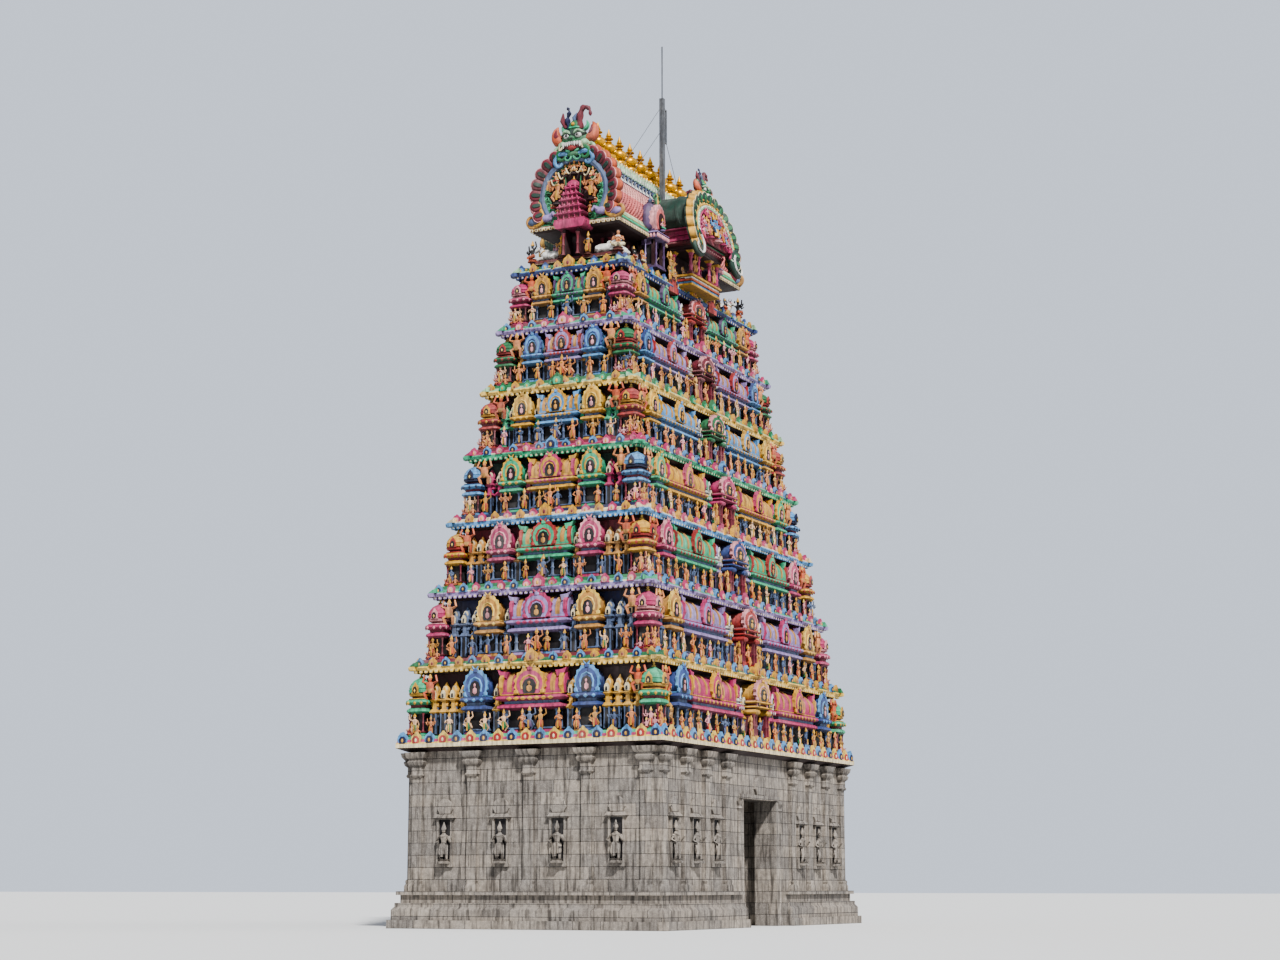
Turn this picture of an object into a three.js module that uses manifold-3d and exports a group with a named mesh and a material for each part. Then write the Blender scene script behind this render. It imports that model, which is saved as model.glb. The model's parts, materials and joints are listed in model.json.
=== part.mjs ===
// A South Indian gateway tower: a granite gateway storey, seven stepped storeys of miniature
// shrines in painted stucco, a recessed neck, and a barrel roof with nine gilded finials.
// Millimetres, +Z up. The origin is on the ground at the middle of the base.
// +X runs along the ridge, and the gateway passes through along Y, with its front at -Y.
import * as THREE from 'three';
import { mergeVertices } from 'three/addons/utils/BufferGeometryUtils.js';
import Module from 'manifold-3d';

const wasm = await Module();
wasm.setup();

// Driving dimensions
const EAVE_Z = 28320;
const EAVE_X = 6040;
const EAVE_Y = 2060;
const STOREYS = 7;
const TOP_STOREY_RISE = 2500;
const EXTRA_RISE = 87;
const TOP_CORNICE_Z = EAVE_Z - 2040;
const TOP_CORNICE_REACH = 390;
const BATTER = 0.172;
const WALL_SET_BACK = 450;
const SHRINE_PROUD = 250;
const TOP_WALL = 650;
const EXTRA_WALL = 70;
const DOOR_HALF = 400;
const DOOR_SHARE = 0.56;

const LIP_BELOW = 90;
const LIP_ABOVE = 60;
const CORNICE_BELOW = 230;
const CORNICE_ABOVE = 350;
const CORNICE_SLOPE = 150;
const TOP_CORNICE_SLOPE = 330;

const PASSAGE_HALF = 2200;
const PASSAGE_TOP = 5900;
const GATE_HALF = 1600;
const GATE_TOP = 5000;
const GATE_DEPTH = 900;

const LEDGE_THICK = 130;
const NECK_X = 4900;
const NECK_Y = 1150;
const NECK_WALL = 400;
const ROOF_END_X = 5640;
const GABLE_FACE_X = 5990;
const RIDGE_LOW = 2330;
const RIDGE_HIGH = 3400;
const FINIAL_COUNT = 9;
const FINIAL_PITCH = 1000;
const FINIAL_HEIGHT = 1560;

const DORMER_HALF = 1840;
const PORCH_HALF = 1450;
const PORCH_Y = 3300;
const SIDE_NICHE_X = 2760;
const MAST_Y = 1080;
const MAST_HALF = 95;
const MAST_TOP = 7150;
const ROD_TOP = 9550;
const SEAT_GAP = 0.4;

// Levels and half sizes worked out from the driving dimensions
function corniceZ(k) {
  const below = STOREYS - k;
  return TOP_CORNICE_Z - below * TOP_STOREY_RISE - (EXTRA_RISE * below * (below - 1)) / 2;
}

function corniceReach(k) {
  return TOP_CORNICE_REACH + BATTER * (TOP_CORNICE_Z - corniceZ(k));
}

const LEDGE_TOP = EAVE_Z - 1430;
const LEDGE_LOW = LEDGE_TOP - LEDGE_THICK;
const EAVE_LOW = EAVE_Z - 200;

// Shapes as closed three.js geometries
function box(x0, x1, y0, y1, z0, z1) {
  const geometry = new THREE.BoxGeometry(x1 - x0, y1 - y0, z1 - z0);
  return geometry.translate((x0 + x1) / 2, (y0 + y1) / 2, (z0 + z1) / 2);
}

// A stack of rectangular sections, each given as [z, half size in X, half size in Y]
function stack(sections, x = 0, y = 0) {
  const steps = sections.length - 1;
  const geometry = new THREE.BoxGeometry(2, 2, steps, 1, 1, steps);
  const place = geometry.attributes.position;
  for (let i = 0; i < place.count; i += 1) {
    const [z, halfX, halfY] = sections[Math.round(place.getZ(i) + steps / 2)];
    place.setXYZ(i, x + place.getX(i) * halfX, y + place.getY(i) * halfY, z);
  }
  return geometry;
}

// An outline in the plane across one axis, carried from one place on that axis to another
function prism(axis, outline, from, to) {
  const shape = new THREE.Shape(outline.map(([a, b]) => new THREE.Vector2(a, b)));
  const geometry = new THREE.ExtrudeGeometry(shape, { depth: to - from, bevelEnabled: false });
  const turn = new THREE.Matrix4();
  if (axis === 'x') {
    turn.set(0, 0, 1, from, 1, 0, 0, 0, 0, 1, 0, 0, 0, 0, 0, 1);
  } else if (axis === 'y') {
    turn.set(1, 0, 0, 0, 0, 0, -1, to, 0, 1, 0, 0, 0, 0, 0, 1);
  } else {
    turn.makeTranslation(0, 0, from);
  }
  return geometry.applyMatrix4(turn);
}

// A turned shape about a vertical line, from a profile of [radius, z]
function turned(profile, sides, x, y) {
  const points = profile.map(([r, z]) => new THREE.Vector2(r, z));
  const geometry = new THREE.LatheGeometry(points, sides);
  return geometry.rotateX(Math.PI / 2).translate(x, y, 0);
}

function mirrored(points) {
  return [...points, ...points.filter(([a]) => a !== 0).reverse().map(([a, b]) => [-a, b])];
}

// Joins and cuts
function solid(geometry) {
  const bare = geometry.index ? geometry.toNonIndexed() : geometry;
  bare.deleteAttribute('normal');
  bare.deleteAttribute('uv');
  const merged = mergeVertices(bare, 1e-3);
  return new wasm.Manifold(new wasm.Mesh({
    numProp: 3,
    vertProperties: Float32Array.from(merged.attributes.position.array),
    triVerts: Uint32Array.from(merged.index.array),
  }));
}

function joined(geometries) {
  return geometries.map(solid).reduce((whole, piece) => whole.add(piece));
}

const COLOURS = {
  granite: [0x9a948a, 0.85],
  stucco_cream: [0xd9c7a0, 0.6],
  stucco_rose: [0xc8467e, 0.5],
  stucco_mint: [0x46be82, 0.5],
  stucco_blue: [0x465aa0, 0.5],
  stucco_lavender: [0xbe96c8, 0.5],
  stucco_gold: [0xd7a528, 0.4],
  stucco_maroon: [0x4a1722, 0.7],
  stucco_green: [0x1e503c, 0.45],
  roof_tile: [0xe18282, 0.55],
  gilt: [0xd8a020, 0.3],
  steel: [0x7a7d80, 0.5],
};

const tower = new THREE.Group();

function add(name, shape, finish) {
  const mesh = shape.getMesh();
  const geometry = new THREE.BufferGeometry();
  geometry.setAttribute('position', new THREE.BufferAttribute(mesh.vertProperties, 3));
  geometry.setIndex(new THREE.BufferAttribute(mesh.triVerts, 1));
  const [color, roughness] = COLOURS[finish];
  const metalness = finish === 'gilt' || finish === 'steel' ? 0.8 : 0;
  const material = new THREE.MeshStandardMaterial({ color, roughness, metalness });
  const node = new THREE.Mesh(geometry, material);
  node.name = name;
  tower.add(node);
}

const SIDES = {
  front: { turn: 0, reach: EAVE_Y, along: EAVE_X },
  right: { turn: Math.PI / 2, reach: EAVE_X, along: EAVE_Y },
  back: { turn: Math.PI, reach: EAVE_Y, along: EAVE_X },
  left: { turn: -Math.PI / 2, reach: EAVE_X, along: EAVE_Y },
};

// Gateway storey
const PLINTH = [
  [0, 160], [320, 160], [320, 40], [700, 40], [820, -60], [960, -60], [960, -220],
  [1260, -220], [1260, -90], [1400, -90], [1400, -420],
];

function gatewayBlock(sign) {
  const reach = corniceReach(0);
  const top = corniceZ(0) - CORNICE_BELOW;
  const levels = [...PLINTH, [top, -420]];
  const whole = solid(stack(levels.map(([z, out]) => [z, EAVE_X + reach + out, EAVE_Y + reach + out])));
  const far = EAVE_X + reach + 1000;
  const [x0, x1] = sign > 0 ? [-far, PASSAGE_HALF] : [-PASSAGE_HALF, far];
  let block = whole.subtract(solid(box(x0, x1, -far, far, -100, top + 100)));
  const face = EAVE_Y + reach - 420;
  const end = EAVE_X + reach - 420;
  const pilasters = [];
  for (const share of [0.36, 0.56, 0.76, 0.96]) {
    const x = sign * share * end;
    pilasters.push(box(x - 210, x + 210, -face - 140, face + 140, 1400, top));
  }
  for (const share of [-0.92, -0.46, 0, 0.46, 0.92]) {
    const y = share * face;
    const outer = sign * (end + 140);
    const inner = sign * (end - 300);
    pilasters.push(box(Math.min(outer, inner), Math.max(outer, inner), y - 210, y + 210, 1400, top));
  }
  block = block.add(joined(pilasters));
  return block;
}

function gateFrame(sign) {
  const face = EAVE_Y + corniceReach(0) - 420;
  const outer = sign * face;
  const inner = sign * (face - GATE_DEPTH);
  const [y0, y1] = [Math.min(outer, inner), Math.max(outer, inner)];
  const whole = solid(box(-PASSAGE_HALF, PASSAGE_HALF, y0, y1, 0, PASSAGE_TOP));
  return whole.subtract(solid(box(-GATE_HALF, GATE_HALF, y0 - 100, y1 + 100, -100, GATE_TOP)));
}

function passageCeiling() {
  const face = EAVE_Y + corniceReach(0) - 420;
  const top = corniceZ(0) - CORNICE_BELOW;
  return solid(box(-PASSAGE_HALF, PASSAGE_HALF, -face, face, PASSAGE_TOP, top));
}

// The cornice that caps storey k, which is also the floor of the next one
function cornice(k) {
  const z = corniceZ(k);
  const reach = corniceReach(k);
  const slope = k === STOREYS ? TOP_CORNICE_SLOPE : CORNICE_SLOPE;
  const sections = [
    [z - CORNICE_BELOW, -350], [z - LIP_BELOW, 0], [z + LIP_ABOVE, 0], [z + CORNICE_ABOVE, -slope],
  ];
  return solid(stack(sections.map(([at, out]) => [at, EAVE_X + reach + out, EAVE_Y + reach + out])));
}

// Miniature shrines, drawn for the front side with the wall face at y = 0
const KUTA_STEPS = [[0, 0.86], [0.5, 0.86], [0.5, 1.1], [0.58, 1.1], [0.64, 0.8], [0.86, 0.8], [1, 0.25]];

function kuta(x, y, half, low, rise) {
  return stack(KUTA_STEPS.map(([share, width]) => [low + share * rise, half * width, half * width]), x, y);
}

function panjara(x, half, depth, low, rise) {
  const points = [
    [1, 0], [1, 0.5], [1.22, 0.51], [1.22, 0.58], [1.1, 0.8], [0.5, 0.95], [0, 1],
  ];
  const outline = mirrored(points.map(([a, b]) => [a * half, low + b * rise]));
  return prism('y', outline, -depth, 50).translate(x, 0, 0);
}

function shala(x, half, depth, low, rise) {
  const points = [
    [0.04, 0], [-1, 0], [-1, 0.5], [-1.14, 0.51], [-1.14, 0.58], [-0.92, 0.62], [-0.86, 0.82],
    [-0.45, 0.98], [0.04, 0.98],
  ];
  const outline = points.map(([a, b]) => [a * depth, low + b * rise]).reverse();
  return prism('x', outline, x - half, x + half);
}

// Half sizes and places are for the top storey; lower ones spread in step with their length
const LONG_ROW = { panjara: [5050, 340], shala: [2950, 1430], smallKuta: [1130, 290], portal: [0, 760] };
const SHORT_ROW = { panjara: [1190, 320], shala: [0, 640] };
const KUTA_HALF = 430;

function longRow(length, low, rise) {
  const spread = length / (EAVE_X + TOP_CORNICE_REACH + SHRINE_PROUD);
  const row = [];
  for (const sign of [-1, 1]) {
    row.push(panjara(sign * LONG_ROW.panjara[0] * spread, LONG_ROW.panjara[1] * spread, 620, low, rise));
    row.push(shala(sign * LONG_ROW.shala[0] * spread, LONG_ROW.shala[1] * spread, 560, low, rise));
    row.push(kuta(sign * LONG_ROW.smallKuta[0] * spread, -230, LONG_ROW.smallKuta[1], low, rise));
  }
  row.push(panjara(0, LONG_ROW.portal[1], 820, low, rise));
  return row;
}

function shortRow(length, low, rise) {
  const spread = length / (EAVE_Y + TOP_CORNICE_REACH + SHRINE_PROUD);
  const widen = Math.sqrt(spread);
  const row = [];
  for (const sign of [-1, 1]) {
    row.push(panjara(sign * SHORT_ROW.panjara[0] * spread, SHORT_ROW.panjara[1] * widen, 620, low, rise));
  }
  row.push(shala(0, SHORT_ROW.shala[1] * spread, 560, low, rise));
  return row;
}

function storey(k) {
  const reach = corniceReach(k);
  const low = corniceZ(k - 1) + CORNICE_ABOVE;
  const high = corniceZ(k) - CORNICE_BELOW;
  const rise = high - low;
  const wallX = EAVE_X + reach - WALL_SET_BACK;
  const wallY = EAVE_Y + reach - WALL_SET_BACK;
  const thick = TOP_WALL + EXTRA_WALL * (STOREYS - k);
  const pieces = [box(-wallX, wallX, -wallY, wallY, low, high)];
  for (const side of Object.values(SIDES)) {
    const face = side.reach + reach - WALL_SET_BACK;
    const length = side.along + reach + SHRINE_PROUD;
    const row = side.along === EAVE_X ? longRow(length, low, rise) : shortRow(length, low, rise);
    pieces.push(...row.map((shape) => shape.translate(0, -face, 0).rotateZ(side.turn)));
  }
  const corner = SHRINE_PROUD - KUTA_HALF;
  for (const [sx, sy] of [[-1, -1], [1, -1], [1, 1], [-1, 1]]) {
    const x = sx * (EAVE_X + reach + corner);
    const y = sy * (EAVE_Y + reach + corner);
    pieces.push(kuta(x, y, KUTA_HALF, low, rise));
  }
  const room = box(thick - wallX, wallX - thick, thick - wallY, wallY - thick, low - 100, high + 100);
  const doors = box(-DOOR_HALF, DOOR_HALF, -wallY - 2000, wallY + 2000, low - 100, low + DOOR_SHARE * rise);
  return joined(pieces).subtract(solid(room)).subtract(solid(doors));
}

// Neck between the storeys and the roof
function neckLedge() {
  return solid(box(-EAVE_X, EAVE_X, -EAVE_Y, EAVE_Y, LEDGE_LOW, LEDGE_TOP));
}

function neckWall() {
  const outer = solid(box(-NECK_X, NECK_X, -NECK_Y, NECK_Y, LEDGE_TOP, EAVE_LOW));
  const x = NECK_X - NECK_WALL;
  const y = NECK_Y - NECK_WALL;
  const room = solid(box(-x, x, -y, y, LEDGE_TOP - 100, EAVE_LOW + 100));
  const doors = solid(box(-550, 550, -NECK_Y - 100, NECK_Y + 100, LEDGE_TOP - 100, EAVE_LOW - 260));
  return outer.subtract(room).subtract(doors);
}

// Eave: a flat slab with a moulded lip, and sloping bands along the two long sides
function eave(grow = 0) {
  const lip = [
    [EAVE_LOW - grow, -150], [EAVE_Z - LIP_BELOW, 0], [EAVE_Z + LIP_ABOVE + grow, 0],
  ];
  const slab = stack(lip.map(([z, out]) => [z, EAVE_X + out + grow, EAVE_Y + out + grow]));
  const bands = mirrored([
    [EAVE_Y - 30 + grow, EAVE_Z], [EAVE_Y - 60 + grow, EAVE_Z + 80],
    [EAVE_Y - 260 + grow, EAVE_Z + 470 + grow],
  ].reverse()).reverse();
  return joined([slab, prism('x', bands, -ROOF_END_X - grow, ROOF_END_X + grow)]);
}

// Barrel roof section, half of it from the crown down, as [y, z above the eave]
const BARREL = [[900, RIDGE_LOW], [1260, 1980], [1560, 1500], [1730, 1050], [1760, 700], [1700, 470]];

function roofSection(inset) {
  const middle = 900;
  return BARREL.map(([y, z]) => {
    const rise = z - middle;
    const length = Math.hypot(y, rise);
    const share = z <= BARREL.at(-1)[1] ? 1 - inset / y : 1 - inset / length;
    return [y * share, z <= BARREL.at(-1)[1] ? EAVE_Z + z : EAVE_Z + middle + rise * share];
  });
}

function roofVault() {
  const outer = mirrored(roofSection(0).reverse());
  const inner = mirrored(roofSection(300).reverse());
  inner[0][1] -= 200;
  inner[inner.length - 1][1] -= 200;
  const whole = solid(prism('x', outer, -ROOF_END_X, ROOF_END_X));
  return whole.subtract(solid(prism('x', inner, -ROOF_END_X - 100, ROOF_END_X + 100)));
}

function ridgeBand() {
  const outline = mirrored([
    [940, EAVE_Z + RIDGE_LOW], [940, EAVE_Z + RIDGE_LOW + 60], [800, EAVE_Z + RIDGE_LOW + 430],
    [620, EAVE_Z + RIDGE_HIGH - 260], [400, EAVE_Z + RIDGE_HIGH],
  ]);
  return solid(prism('x', outline, -ROOF_END_X, ROOF_END_X));
}

// A finial pot: lotus seat, two bulbs, rings and a spike
const FINIAL = [
  [0, 0], [330, 0], [390, 0.12], [270, 0.27], [400, 0.42], [360, 0.52], [120, 0.6], [230, 0.7],
  [130, 0.78], [0, 1],
];

function finial(i) {
  const x = (i - (FINIAL_COUNT + 1) / 2) * FINIAL_PITCH;
  const low = EAVE_Z + RIDGE_HIGH;
  return solid(turned(FINIAL.map(([r, share]) => [r, low + share * FINIAL_HEIGHT]), 8, x, 0));
}

// Horseshoe arches with a ring of petals, scrolls at the feet and a lion mask on top
const GABLE_ARCH = {
  ring: [1500, 1180], ringMiddle: 1260, petal: [2080, 1780], petalMiddle: 1380, petals: 7,
  deck: 70, foot: 70, leg: 1500, scroll: [2130, 330], mask: 2440,
};
const DORMER_ARCH = {
  ring: [1980, 1330], ringMiddle: 520, petal: [2680, 2020], petalMiddle: 560, petals: 7,
  deck: -40, foot: -640, leg: 1640, scroll: [2350, -420], mask: 1860,
};
// Half outline of the mask above its chin: jaw, ear, horn and crest
const MASK = [
  [620, 150], [640, 480], [800, 600], [800, 1150], [620, 1300], [480, 1080], [430, 1560], [450, 2150],
  [230, 2480], [0, 2380],
];

function along(arch, middle, degrees, share = 1) {
  const angle = THREE.MathUtils.degToRad(degrees);
  return [share * arch[0] * Math.cos(angle), middle + share * arch[1] * Math.sin(angle)];
}

function archOutline(arch, maskShare) {
  const points = [[0, arch.deck], [arch.leg, arch.deck]];
  if (arch.foot < arch.deck) points.push([arch.leg, arch.foot]);
  points.push([arch.scroll[0] - 250, arch.foot], [arch.scroll[0], arch.scroll[1] - 150]);
  points.push([arch.scroll[0], arch.scroll[1] + 100]);
  const first = -24;
  const step = 88 / arch.petals;
  for (let i = 0; i < arch.petals; i += 1) {
    const angle = first + i * step;
    points.push(along(arch.petal, arch.petalMiddle, angle, 0.9));
    points.push(along(arch.petal, arch.petalMiddle, angle + step * 0.3));
    points.push(along(arch.petal, arch.petalMiddle, angle + step * 0.75));
  }
  points.push(...MASK.map(([a, b]) => [a * maskShare, arch.mask + b * maskShare]));
  return mirrored(points).map(([a, b]) => [a, EAVE_Z + b]);
}

function archPocket(arch) {
  const points = [[0, arch.deck + 120], [arch.ring[0] * 0.66, arch.deck + 120]];
  for (let angle = -36; angle < 90; angle += 14) {
    points.push(along(arch.ring, arch.ringMiddle, angle));
  }
  points.push(along(arch.ring, arch.ringMiddle, 90));
  points[points.length - 1][0] = 0;
  return mirrored(points).map(([a, b]) => [a, EAVE_Z + b]);
}

function maskBulge(arch, share, out) {
  const bulge = new THREE.SphereGeometry(1, 8, 6).scale(560 * share, 260, 700 * share);
  return bulge.translate(0, -out, EAVE_Z + arch.mask + 640 * share);
}

// Drawn facing -Y with its back at y = back, then turned to its side
function archPlate(arch, back, thick, pocket, maskShare, turn) {
  const front = back - thick;
  const outline = archOutline(arch, maskShare);
  const plate = solid(prism('y', outline, front, back).rotateZ(turn));
  const hollow = solid(prism('y', archPocket(arch), front - 100, front + pocket).rotateZ(turn));
  const mask = solid(maskBulge(arch, maskShare, -front - 40).rotateZ(turn));
  return plate.subtract(hollow).add(mask);
}

// The little tiered shrine and its niche that stand in front of each end of the roof
function endShrine(sign) {
  const wall = GABLE_FACE_X + SEAT_GAP;
  const tiers = [
    [EAVE_Z + LIP_ABOVE + SEAT_GAP, 700], [EAVE_Z + 260, 620], [EAVE_Z + 420, 640], [EAVE_Z + 470, 520],
    [EAVE_Z + 760, 540], [EAVE_Z + 810, 430], [EAVE_Z + 1080, 450], [EAVE_Z + 1130, 340],
    [EAVE_Z + 1380, 360], [EAVE_Z + 1430, 250], [EAVE_Z + 1650, 270], [EAVE_Z + 1900, 90],
  ];
  const depths = tiers.map(([z, half]) => [z, 180 + half * 0.42, half]);
  const pyramid = stack(depths, EAVE_X + 60, 0);
  const lip = EAVE_X + SEAT_GAP;
  const shape = joined([
    box(lip, lip + 420, -720, 720, EAVE_Z - 240, EAVE_Z + 60),
    box(lip, lip + 420, -640, 640, EAVE_LOW - 130, EAVE_Z - 200),
    box(lip - 300, lip + 300, 430, 600, LEDGE_TOP, EAVE_LOW - SEAT_GAP),
    box(lip - 300, lip + 300, -600, -430, LEDGE_TOP, EAVE_LOW - SEAT_GAP),
    box(lip, lip + 300, 430, 600, LEDGE_TOP, EAVE_Z - 200),
    box(lip, lip + 300, -600, -430, LEDGE_TOP, EAVE_Z - 200),
    pyramid,
    box(lip, lip + 400, -500, 500, EAVE_Z, EAVE_Z + 200),
  ]);
  const behind = solid(box(0, wall, -2000, 2000, EAVE_Z + LIP_ABOVE, EAVE_Z + 4000));
  const clear = shape.subtract(behind).subtract(eave(SEAT_GAP));
  return sign > 0 ? clear : turnedHalf(clear);
}

function turnedHalf(shape) {
  const mesh = shape.getMesh();
  const geometry = new THREE.BufferGeometry();
  geometry.setAttribute('position', new THREE.BufferAttribute(mesh.vertProperties, 3));
  geometry.setIndex(new THREE.BufferAttribute(mesh.triVerts, 1));
  return solid(geometry.rotateZ(Math.PI));
}

// Dormer porches on the long sides
const DORMER_FOOT = 620;
const DORMER_CROWN = 2300;

function dormerOutline() {
  return mirrored([
    [1500, DORMER_FOOT], [DORMER_HALF, 1050], [DORMER_HALF, 1350], [1560, 1850], [1050, 2180],
    [400, DORMER_CROWN],
  ]).map(([a, b]) => [a, EAVE_Z + b]);
}

function dormerBarrel(turn) {
  const barrel = solid(prism('y', dormerOutline(), -PORCH_Y, -900));
  const roof = solid(prism('x', mirrored(roofSection(-SEAT_GAP).reverse()), -ROOF_END_X, ROOF_END_X));
  const band = solid(box(-3000, 3000, -940 - SEAT_GAP, 0, EAVE_Z, EAVE_Z + 4000));
  const clear = barrel.subtract(roof).subtract(band).subtract(eave(SEAT_GAP));
  return turn ? turnedHalf(clear) : clear;
}

function dormerPorch(turn) {
  const lip = EAVE_Y + SEAT_GAP;
  const front = PORCH_Y;
  const low = LEDGE_LOW - 280;
  const pieces = [
    box(-PORCH_HALF - 120, PORCH_HALF + 120, -front - 120, -lip, EAVE_Z - 60, EAVE_Z + 80),
    box(-PORCH_HALF, PORCH_HALF, -front, -lip, EAVE_Z - 330, EAVE_Z + DORMER_FOOT - SEAT_GAP),
    box(-PORCH_HALF, PORCH_HALF, -front, -lip, low, LEDGE_LOW - 60),
  ];
  for (const x of [-1300, 1300]) {
    for (const y of [-front + 160, -lip - 160]) {
      pieces.push(box(x - 110, x + 110, y - 110, y + 110, low, EAVE_Z));
    }
  }
  const below = cornice(STOREYS);
  const clear = joined(pieces).subtract(below.add(solid(box(-9000, 9000, -9000, 9000, 0, low))));
  return turn ? turnedHalf(clear) : clear;
}

// Niches with small domed roofs that break the eave on the long sides
function sideNiche(x, turn) {
  const half = 560;
  const lip = EAVE_Y + SEAT_GAP;
  const dome = mirrored([
    [0.7, 0], [0.7, 0.1], [1, 0.4], [0.95, 0.66], [0.55, 0.92], [0, 1],
  ].map(([a, b]) => [a * half, EAVE_Z + 100 + b * 1450]));
  const pieces = [
    prism('y', dome, -lip - 240, -1500),
    box(-half, half, -lip - 260, -lip, EAVE_Z - 150, EAVE_Z + 140),
    box(-430, 430, -lip - 200, -lip + 700, LEDGE_TOP, EAVE_LOW - SEAT_GAP),
    box(-430, 430, -lip - 200, -lip, LEDGE_TOP, EAVE_Z),
  ];
  const roof = solid(prism('x', mirrored(roofSection(-SEAT_GAP).reverse()), -ROOF_END_X, ROOF_END_X));
  const niche = solid(box(-300, 300, -lip - 400, -lip + 300, LEDGE_TOP + 120, EAVE_LOW - 200));
  const placed = joined(pieces).subtract(niche);
  const mesh = placed.getMesh();
  const geometry = new THREE.BufferGeometry();
  geometry.setAttribute('position', new THREE.BufferAttribute(mesh.vertProperties, 3));
  geometry.setIndex(new THREE.BufferAttribute(mesh.triVerts, 1));
  const clear = solid(geometry.translate(x, 0, 0)).subtract(roof).subtract(eave(SEAT_GAP));
  return turn ? turnedHalf(clear) : clear;
}

// Mast with its rod, standing on the front dormer's crown, and its taut stays
function mast() {
  const low = EAVE_Z + DORMER_CROWN + SEAT_GAP;
  const top = EAVE_Z + MAST_TOP;
  const pieces = [
    box(-MAST_HALF, MAST_HALF, -MAST_Y - MAST_HALF, -MAST_Y + MAST_HALF, low, top),
    box(-22, 22, -MAST_Y - 22, -MAST_Y + 22, top - 100, EAVE_Z + ROD_TOP),
    box(0, 420, -MAST_Y - 30, -MAST_Y + 30, top - 460, top - 400),
    box(0, 420, -MAST_Y - 30, -MAST_Y + 30, top - 1960, top - 1900),
    box(360, 420, -MAST_Y - 30, -MAST_Y + 30, top - 1960, top - 400),
  ];
  return joined(pieces);
}

function stay(start, end, radius) {
  const path = new THREE.LineCurve3(new THREE.Vector3(...start), new THREE.Vector3(...end));
  const section = new THREE.Shape();
  for (let i = 0; i < 6; i += 1) {
    const angle = (i * Math.PI) / 3;
    const point = [radius * Math.cos(angle), radius * Math.sin(angle)];
    if (i === 0) section.moveTo(...point);
    else section.lineTo(...point);
  }
  return solid(new THREE.ExtrudeGeometry(section, { extrudePath: path, steps: 1, bevelEnabled: false }));
}

function stays() {
  const high = EAVE_Z + MAST_TOP - 300;
  const ridge = EAVE_Z + RIDGE_HIGH;
  const near = solid(box(-9000, 9000, -9000, 9000, ridge - 3000, ridge + SEAT_GAP));
  const out = MAST_HALF + SEAT_GAP;
  const keep = solid(box(-out, out, -MAST_Y - out, -MAST_Y + out, 0, high + 5000));
  const place = (x, y, z) => stay([0, -MAST_Y, z], [x, y, ridge - 20], 11).subtract(near).subtract(keep);
  add('mast_stay_left', place(-2500, -360, high), 'steel');
  add('mast_stay_middle', place(-1500, -360, high - 1100), 'steel');
  add('mast_stay_right', place(3500, -360, high - 1000), 'steel');
}

// Assembly, from the ground up
add('base_left_block', gatewayBlock(-1), 'granite');
add('base_right_block', gatewayBlock(1), 'granite');
add('passage_ceiling', passageCeiling(), 'granite');
add('front_gate_frame', gateFrame(-1), 'granite');
add('back_gate_frame', gateFrame(1), 'granite');
add('base_cornice', cornice(0), 'stucco_cream');

const CORNICE_FINISH = [
  'stucco_gold', 'stucco_lavender', 'stucco_blue', 'stucco_mint', 'stucco_gold', 'stucco_lavender',
  'stucco_blue',
];
const STOREY_FINISH = [
  'stucco_rose', 'stucco_mint', 'stucco_gold', 'stucco_rose', 'stucco_blue', 'stucco_mint', 'stucco_rose',
];
for (let k = 1; k <= STOREYS; k += 1) {
  add(`storey_${k}_shrines`, storey(k), STOREY_FINISH[k - 1]);
  add(`storey_${k}_cornice`, cornice(k), CORNICE_FINISH[k - 1]);
}

add('neck_ledge', neckLedge(), 'stucco_maroon');
add('neck_wall', neckWall(), 'stucco_maroon');
add('eave_cornice', eave(), 'stucco_cream');
add('roof_vault', roofVault(), 'roof_tile');
add('ridge_band', ridgeBand(), 'stucco_cream');
for (let i = 1; i <= FINIAL_COUNT; i += 1) {
  add(`finial_${i}`, finial(i), 'gilt');
}

const gableBack = -ROOF_END_X;
const gableThick = GABLE_FACE_X - ROOF_END_X;
add('left_gable', archPlate(GABLE_ARCH, gableBack, gableThick, 200, 1, SIDES.left.turn), 'stucco_gold');
add('right_gable', archPlate(GABLE_ARCH, gableBack, gableThick, 200, 1, SIDES.right.turn), 'stucco_gold');
add('left_end_shrine', endShrine(-1), 'stucco_rose');
add('right_end_shrine', endShrine(1), 'stucco_rose');

const archBack = -PORCH_Y - 120 - SEAT_GAP;
for (const [name, turn] of [['front', 0], ['back', Math.PI]]) {
  add(`${name}_dormer_barrel`, dormerBarrel(turn), 'stucco_green');
  add(`${name}_dormer_porch`, dormerPorch(turn), 'stucco_rose');
  add(`${name}_dormer_arch`, archPlate(DORMER_ARCH, archBack, 260, 120, 0.48, turn), 'stucco_gold');
  add(`${name}_niche_left`, sideNiche(turn ? SIDE_NICHE_X : -SIDE_NICHE_X, turn), 'stucco_lavender');
  add(`${name}_niche_right`, sideNiche(turn ? -SIDE_NICHE_X : SIDE_NICHE_X, turn), 'stucco_lavender');
}

add('mast', mast(), 'steel');
stays();

export default tower;
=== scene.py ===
# Dresses the temple gateway tower: painted stucco, miniature shrines, figures and gilded finials.
# Metres, +Z up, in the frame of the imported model: the ridge runs along X, the front is at -Y.
import json
import math
import random

import bpy
import numpy as np
from mathutils import Matrix, Vector

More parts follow.
